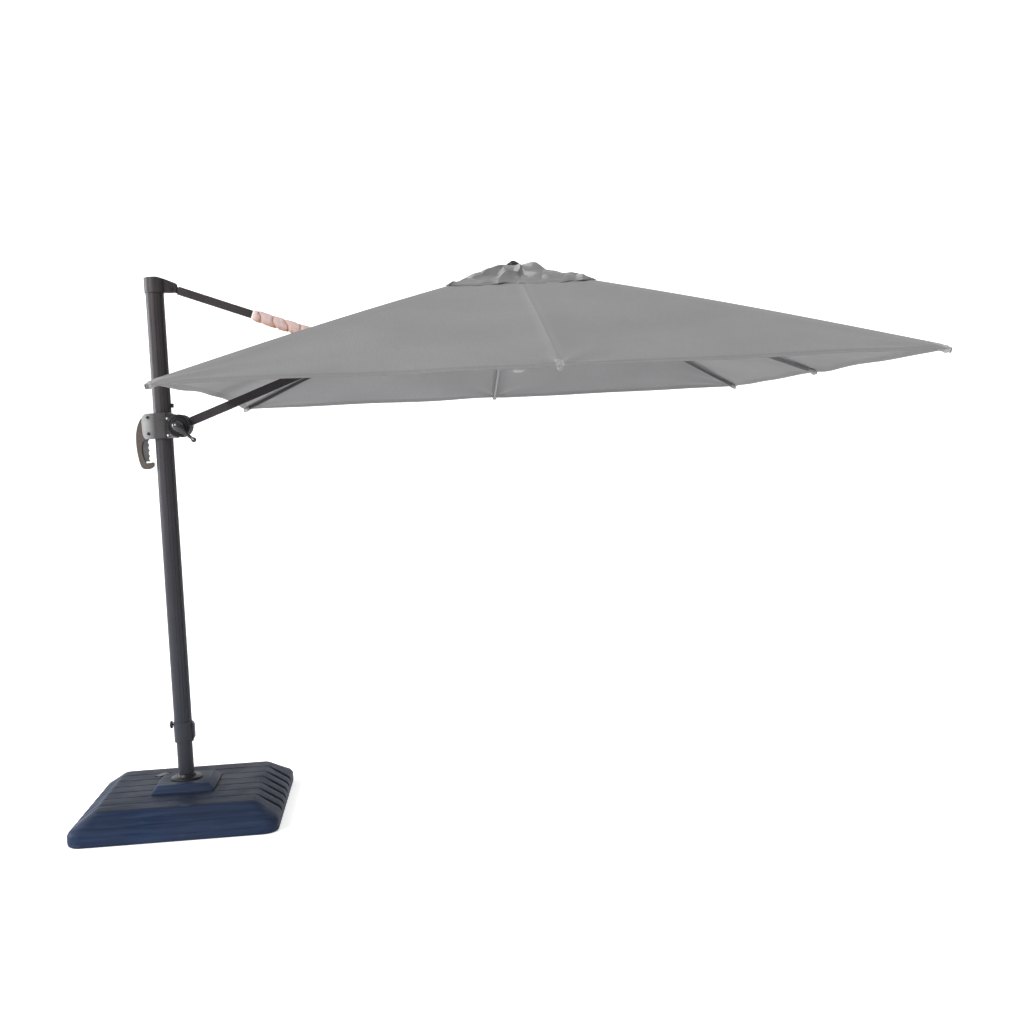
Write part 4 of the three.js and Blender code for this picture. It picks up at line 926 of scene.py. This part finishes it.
def build_rib_ends():
    """A rounded cap on each rib's end, half tucked into the cloth's pocket."""
    steps = 24
    for rib in RIBS:
        side = Vector(joints["rib_turn_" + rib]["axis"])
        out = side.cross(Vector((0, 0, 1)))
        size = max(abs(out.x), abs(out.y))
        along = (out - Vector((0, 0, SLOPE * size))).normalized()
        up = along.cross(side)
        tip = Vector((*CENTRE, APEX)) + along * (HALF / size / along.dot(out)) - up * (16 * MM)
        on_corner = size < 0.9
        tip -= along * ((14 if on_corner else 7) * MM)
        vertices = []
        for place, radius in RIB_END_PROFILE:
            for k in range(steps):
                angle = 2 * math.pi * k / steps
                spread = side * (radius * MM * math.cos(angle)) + up * (1.15 * radius * MM * math.sin(angle))
                vertices.append(tuple(tip + along * (place * MM) + spread))
        faces = grid_faces(len(RIB_END_PROFILE), steps, wrap_columns=True)
        piece = add_piece("rib_end_" + rib, vertices, faces, "rib_paint", "rib_" + rib, material="end_cap")
        weld = piece.modifiers.new("weld", "WELD")
        weld.merge_threshold = 1e-5
        outward_facing(piece)


build_rib_ends()

# ------------------------------------------------------------------ carried-over nodes

BEVELS = {  # widths in millimetres, for the nodes with softer edges than the rest
    "slider_body": 3.0, "slider_handle": 3.0, "clamp_lever": 0.8, "mast_head": 2.5, "swivel_housing": 2.5,
    "foot_pedal": 1.5, "handle_trigger": 1.2,
}
SHARP = math.radians(34)  # an edge that turns more than this is softened
OWN_FINISH = {  # nodes that look different from the rest of their material slot
    "runner": "runner_plastic", "slider_handle": "grip_plastic", "handle_trigger": "trigger_plastic",
    "clamp_lever": "lever_plastic", "domed_screw_upper": "bright_steel", "domed_screw_lower": "bright_steel",
    # the far-left rib's near-black finish is painted shade
    "head_pin": "black_steel", "rib_far_left": "painted_shade_black",
}


def finish_node(name, slot):
    """Smooth shading, softened edges and the slot's material on a node that keeps its own mesh."""
    node = frame["nodes"][name]
    mesh = node.data
    if "custom_normal" in mesh.attributes:
        mesh.attributes.remove(mesh.attributes["custom_normal"])
    mesh.polygons.foreach_set("use_smooth", [True] * len(mesh.polygons))
    mesh.materials.clear()
    mesh.materials.append(MATERIALS[OWN_FINISH.get(name, slot)])
    weld = node.modifiers.new("weld", "WELD")
    weld.merge_threshold = 1e-5
    flatten = node.modifiers.new("flatten", "DECIMATE")
    flatten.decimate_type = "DISSOLVE"
    flatten.angle_limit = math.radians(1.0)
    bevel = node.modifiers.new("bevel", "BEVEL")
    bevel.width = BEVELS.get(name, 1.0) * MM
    bevel.segments = 3
    bevel.limit_method = "ANGLE"
    bevel.angle_limit = SHARP
    bevel.use_clamp_overlap = True
    bevel.harden_normals = True


for part in frame["record"]["subparts"]:
    if part["node"] not in ("canopy", "vent_cover", "stay_wrap", "base_shell"):
        finish_node(part["node"], part["material_slot"])

# ------------------------------------------------------------------ stage, light and camera

FLOOR_BOUNCE = 0.20  # light that a lit white floor throws up under the canopy
FLOOR_GLOW = 0.4  # lifts the backdrop to white for the camera without lighting the object
SKY_LIGHT = 0.46  # brightness of the world as a light; the camera sees it as plain white
CAMERA_PLACE = (1.078, -6.058, 1.717)
CAMERA_TURN = {"yaw": 5.33, "pitch": -3.31, "roll": 2.90}  # degrees; yaw from +Y towards +X
CAMERA_LENS = 43.68


def backdrop():
    """A pale floor that curves up into a wall behind the object."""
    near, far, wide, bend, tall = -14.0, 12.0, 22.0, 4.0, 16.0
    steps = 16
    profile = [(near, 0.0), (far - bend, 0.0)]
    for k in range(1, steps + 1):
        angle = math.pi / 2 * k / steps
        profile.append((far - bend + bend * math.sin(angle), bend * (1 - math.cos(angle))))
    profile.append((far, tall))
    vertices = [(side * wide, y, z) for y, z in profile for side in (-1, 1)]
    faces = [(2 * k, 2 * k + 1, 2 * k + 3, 2 * k + 2) for k in range(len(profile) - 1)]
    mesh = bpy.data.meshes.new("floor")
    mesh.from_pydata(vertices, [], faces)
    mesh.polygons.foreach_set("use_smooth", [True] * len(mesh.polygons))
    made = Finish("pale_floor", 0.9, Specular_IOR_Level=0.1, Emission_Color=(1, 1, 1, 1))
    seen = made.node("ShaderNodeLightPath").outputs["Is Camera Ray"]
    glow = made.math("MULTIPLY_ADD", seen, FLOOR_GLOW, FLOOR_BOUNCE)
    made.feed(made.shader.inputs["Emission Strength"], glow)
    beneath = made.node("ShaderNodeNewGeometry").outputs["Backfacing"]
    clear = made.math("MULTIPLY", beneath, seen)  # a camera under the floor sees through it
    made.feed(made.shader.inputs["Alpha"], made.math("SUBTRACT", 1.0, clear))
    made.done(made.mix(made.noise(0.6, 2), (0.88, 0.88, 0.88), (0.90, 0.90, 0.90)))
    mesh.materials.append(made.material)
    floor = bpy.data.objects.new("floor", mesh)
    bpy.context.scene.collection.objects.link(floor)


def area_light(name, place, aim, size, power, color=(1, 1, 1)):
    """A round soft light that points at its aim."""
    light = bpy.data.lights.new(name, "AREA")
    light.shape = "DISK"
    light.size = size
    light.energy = power
    light.color = color
    lamp = bpy.data.objects.new(name, light)
    lamp.location = place
    lamp.rotation_euler = (Vector(aim) - Vector(place)).to_track_quat("-Z", "Y").to_euler()
    bpy.context.scene.collection.objects.link(lamp)


def build_camera():
    """A standing person's view, from a little below the canopy's edge and slightly tilted."""
    yaw, pitch, roll = (math.radians(CAMERA_TURN[name]) for name in ("yaw", "pitch", "roll"))
    ahead = Vector((math.sin(yaw) * math.cos(pitch), math.cos(yaw) * math.cos(pitch), math.sin(pitch)))
    right = Vector((math.cos(yaw), -math.sin(yaw), 0))
    above = right.cross(ahead)
    turned_right = math.cos(roll) * right - math.sin(roll) * above
    turned_above = math.sin(roll) * right + math.cos(roll) * above
    data = bpy.data.cameras.new("camera")
    data.sensor_width = 36.0
    data.lens = CAMERA_LENS
    camera = bpy.data.objects.new("camera", data)
    camera.matrix_world = Matrix((turned_right, turned_above, -ahead)).transposed().to_4x4()
    camera.location = CAMERA_PLACE
    bpy.context.scene.collection.objects.link(camera)
    bpy.context.scene.camera = camera


def build_lights():
    """A large key light from the left front, a cool side light and a weak fill from the right."""
    area_light("key", (-11.4, -12.9, 10.6), (0.6, 0, 1.6), 6.5, 3350, (1.0, 0.985, 0.96))
    area_light("side", (-5.0, 1.0, 2.6), (0, 0, 1.2), 2.5, 190, (0.90, 0.95, 1.0))
    area_light("fill", (5.5, -5.5, 3.0), (1.2, 0, 1.4), 4.0, 40)


def build_world():
    """A white surround that lights the object less than it shows to the camera."""
    world = bpy.data.worlds.new("studio")
    world.use_nodes = True
    tree = world.node_tree
    background = tree.nodes["Background"]
    background.inputs["Color"].default_value = (1.0, 1.0, 1.0, 1)
    seen_directly = tree.nodes.new("ShaderNodeLightPath").outputs["Is Camera Ray"]
    brightness = tree.nodes.new("ShaderNodeMapRange")
    brightness.inputs["To Min"].default_value = SKY_LIGHT
    tree.links.new(seen_directly, brightness.inputs["Value"])
    tree.links.new(brightness.outputs[0], background.inputs["Strength"])
    bpy.context.scene.world = world


backdrop()
build_lights()
build_world()
build_camera()
bpy.context.scene.view_settings.view_transform = "Standard"

bpy.context.view_layer.update()
